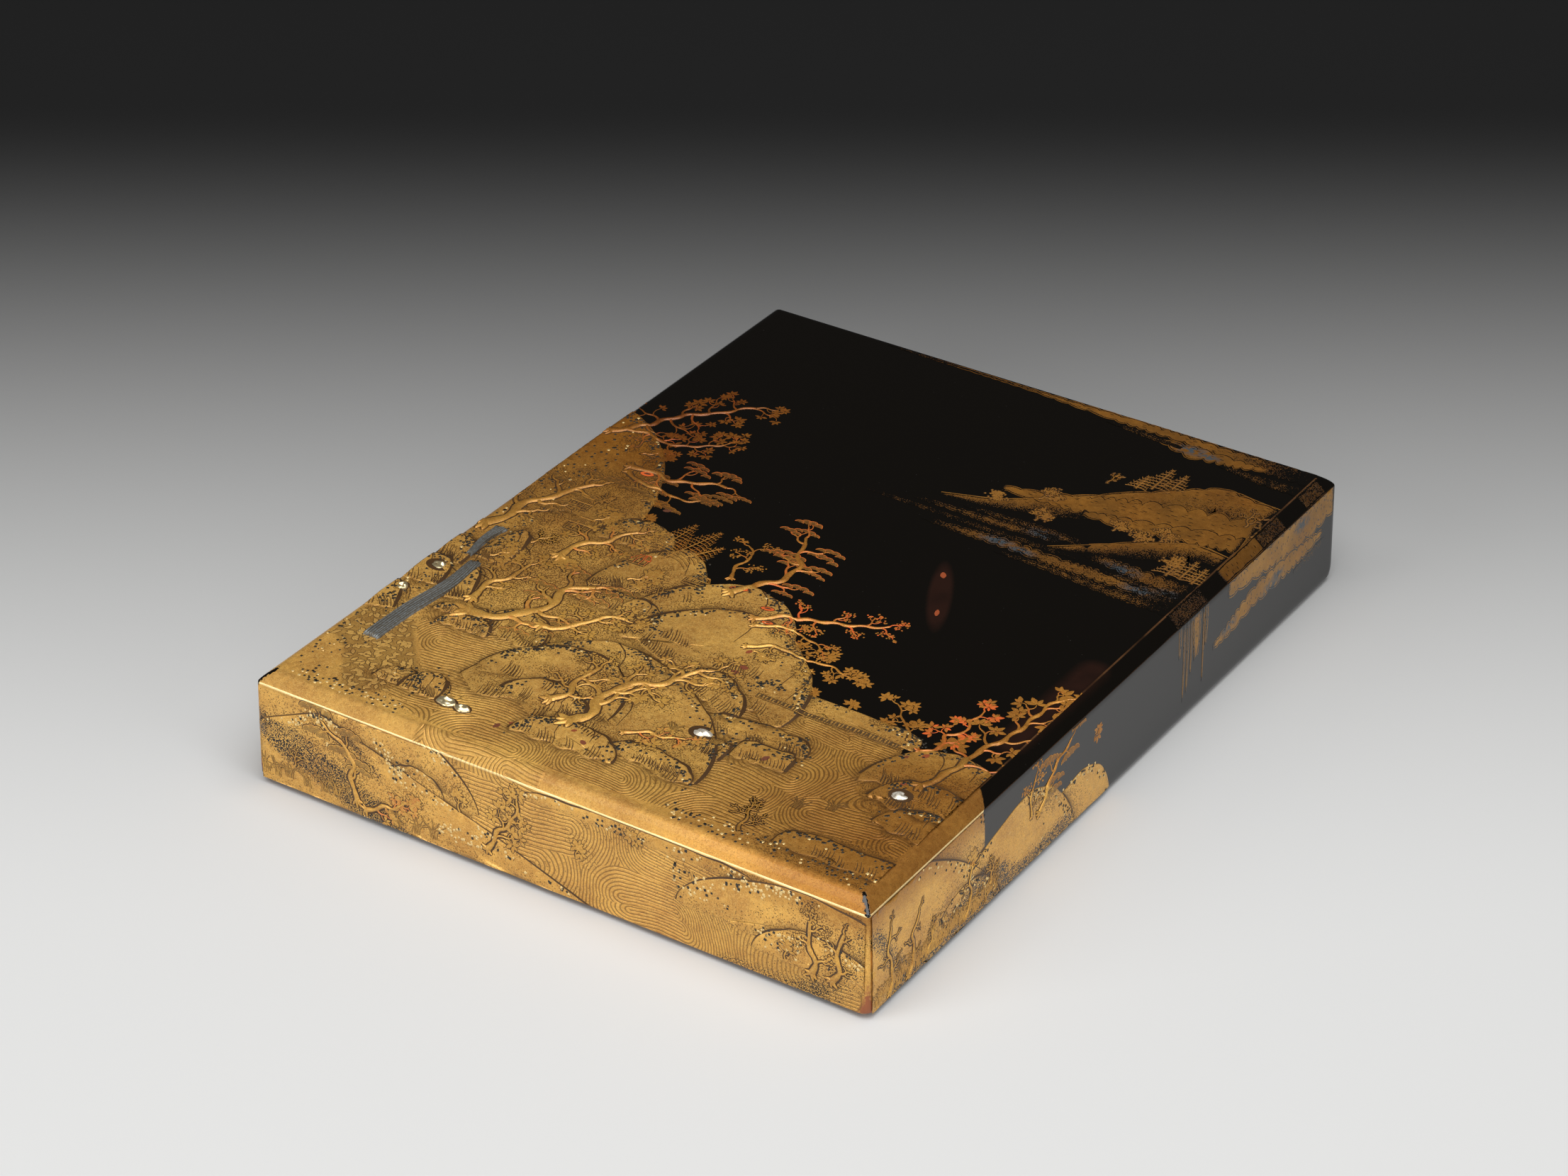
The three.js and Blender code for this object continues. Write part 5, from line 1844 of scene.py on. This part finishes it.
# %% The tray's plain black
def tray_finish():
    r = Recipe("black_lacquer")
    grain = r.cells(0.5)
    speck = r.times(r.ramp(grain, 0.0, 0.10, 1.0, 0.0), r.ramp(r.noise(8, 2), 0.5, 0.7))
    return lacquer(r, r.times(speck, 0.7), 0.2)


tray = bpy.data.objects["tray"]
tray.data.materials.clear()
tray.data.materials.append(tray_finish())

# %% [markdown]
# ## Light
# The table is plain and pale, and falls into shade far behind the box. A broad soft window hangs in front
# and to the left, with a small high one over it, under a wide ceiling. Two more soft lights stand for pale
# walls, because polished lacquer shows little but what it reflects.

# %% Floor, world and lights
FLOOR_HALF = 3.0
FLOOR_DARK_FROM, FLOOR_PALE_FROM = 376.0, -130.0
FLOOR_DARK, FLOOR_PALE = (0.0115, 0.0115, 0.0115), (0.525, 0.525, 0.520)
LIT_POINT = Vector((0, 0, 0.03))


def floor_finish():
    """Pale near the camera and dark far away, in millimetres along the way the camera looks."""
    r = Recipe("table")
    x, y, _ = r.parts(r.place)
    away = r.plus(r.times(x, -math.sin(AZIMUTH)), r.times(y, math.cos(AZIMUTH)))
    span = {"Value": away, "From Min": FLOOR_DARK_FROM, "From Max": FLOOR_PALE_FROM}
    tone = r.add("ShaderNodeMapRange", span, interpolation_type="SMOOTHSTEP")
    colour = r.mix(tone.outputs[0], FLOOR_DARK, FLOOR_PALE)
    return r.finish(Base_Color=colour, Roughness=0.9, Specular_IOR_Level=0.1)


mesh = bpy.data.meshes.new("table_top")
corners = [(a * FLOOR_HALF, b * FLOOR_HALF, 0) for a, b in ((-1, -1), (1, -1), (1, 1), (-1, 1))]
mesh.from_pydata(corners, [], [(0, 1, 2, 3)])
mesh.materials.append(floor_finish())
floor = show("table_top", mesh)


def soft_light(name, place, size, power):
    """A square of light that looks at the box. Places and sizes are in metres, and power in watts."""
    data = bpy.data.lights.new(name, "AREA")
    data.size = size
    data.energy = power
    lamp = show(name, data)
    lamp.location = place
    lamp.rotation_euler = (LIT_POINT - Vector(place)).to_track_quat("-Z", "Y").to_euler()


soft_light("window", (-0.60, -1.34, 0.50), 0.78, 9.3)
soft_light("ceiling", (0.5, -0.42, 1.7), 1.8, 46)
soft_light("side wall", (1.5, -0.2, 0.6), 0.9, 4.7)
soft_light("front wall", (0.75, -1.2, 0.4), 0.6, 4.2)
soft_light("high window", (-0.50, -0.78, 1.28), 0.5, 3.0)
world = bpy.data.worlds.new("room")
bpy.context.scene.world = world
world.use_nodes = True
world.node_tree.nodes["Background"].inputs[0].default_value = (0.03, 0.03, 0.03, 1)
bpy.context.scene.view_settings.view_transform = "Standard"
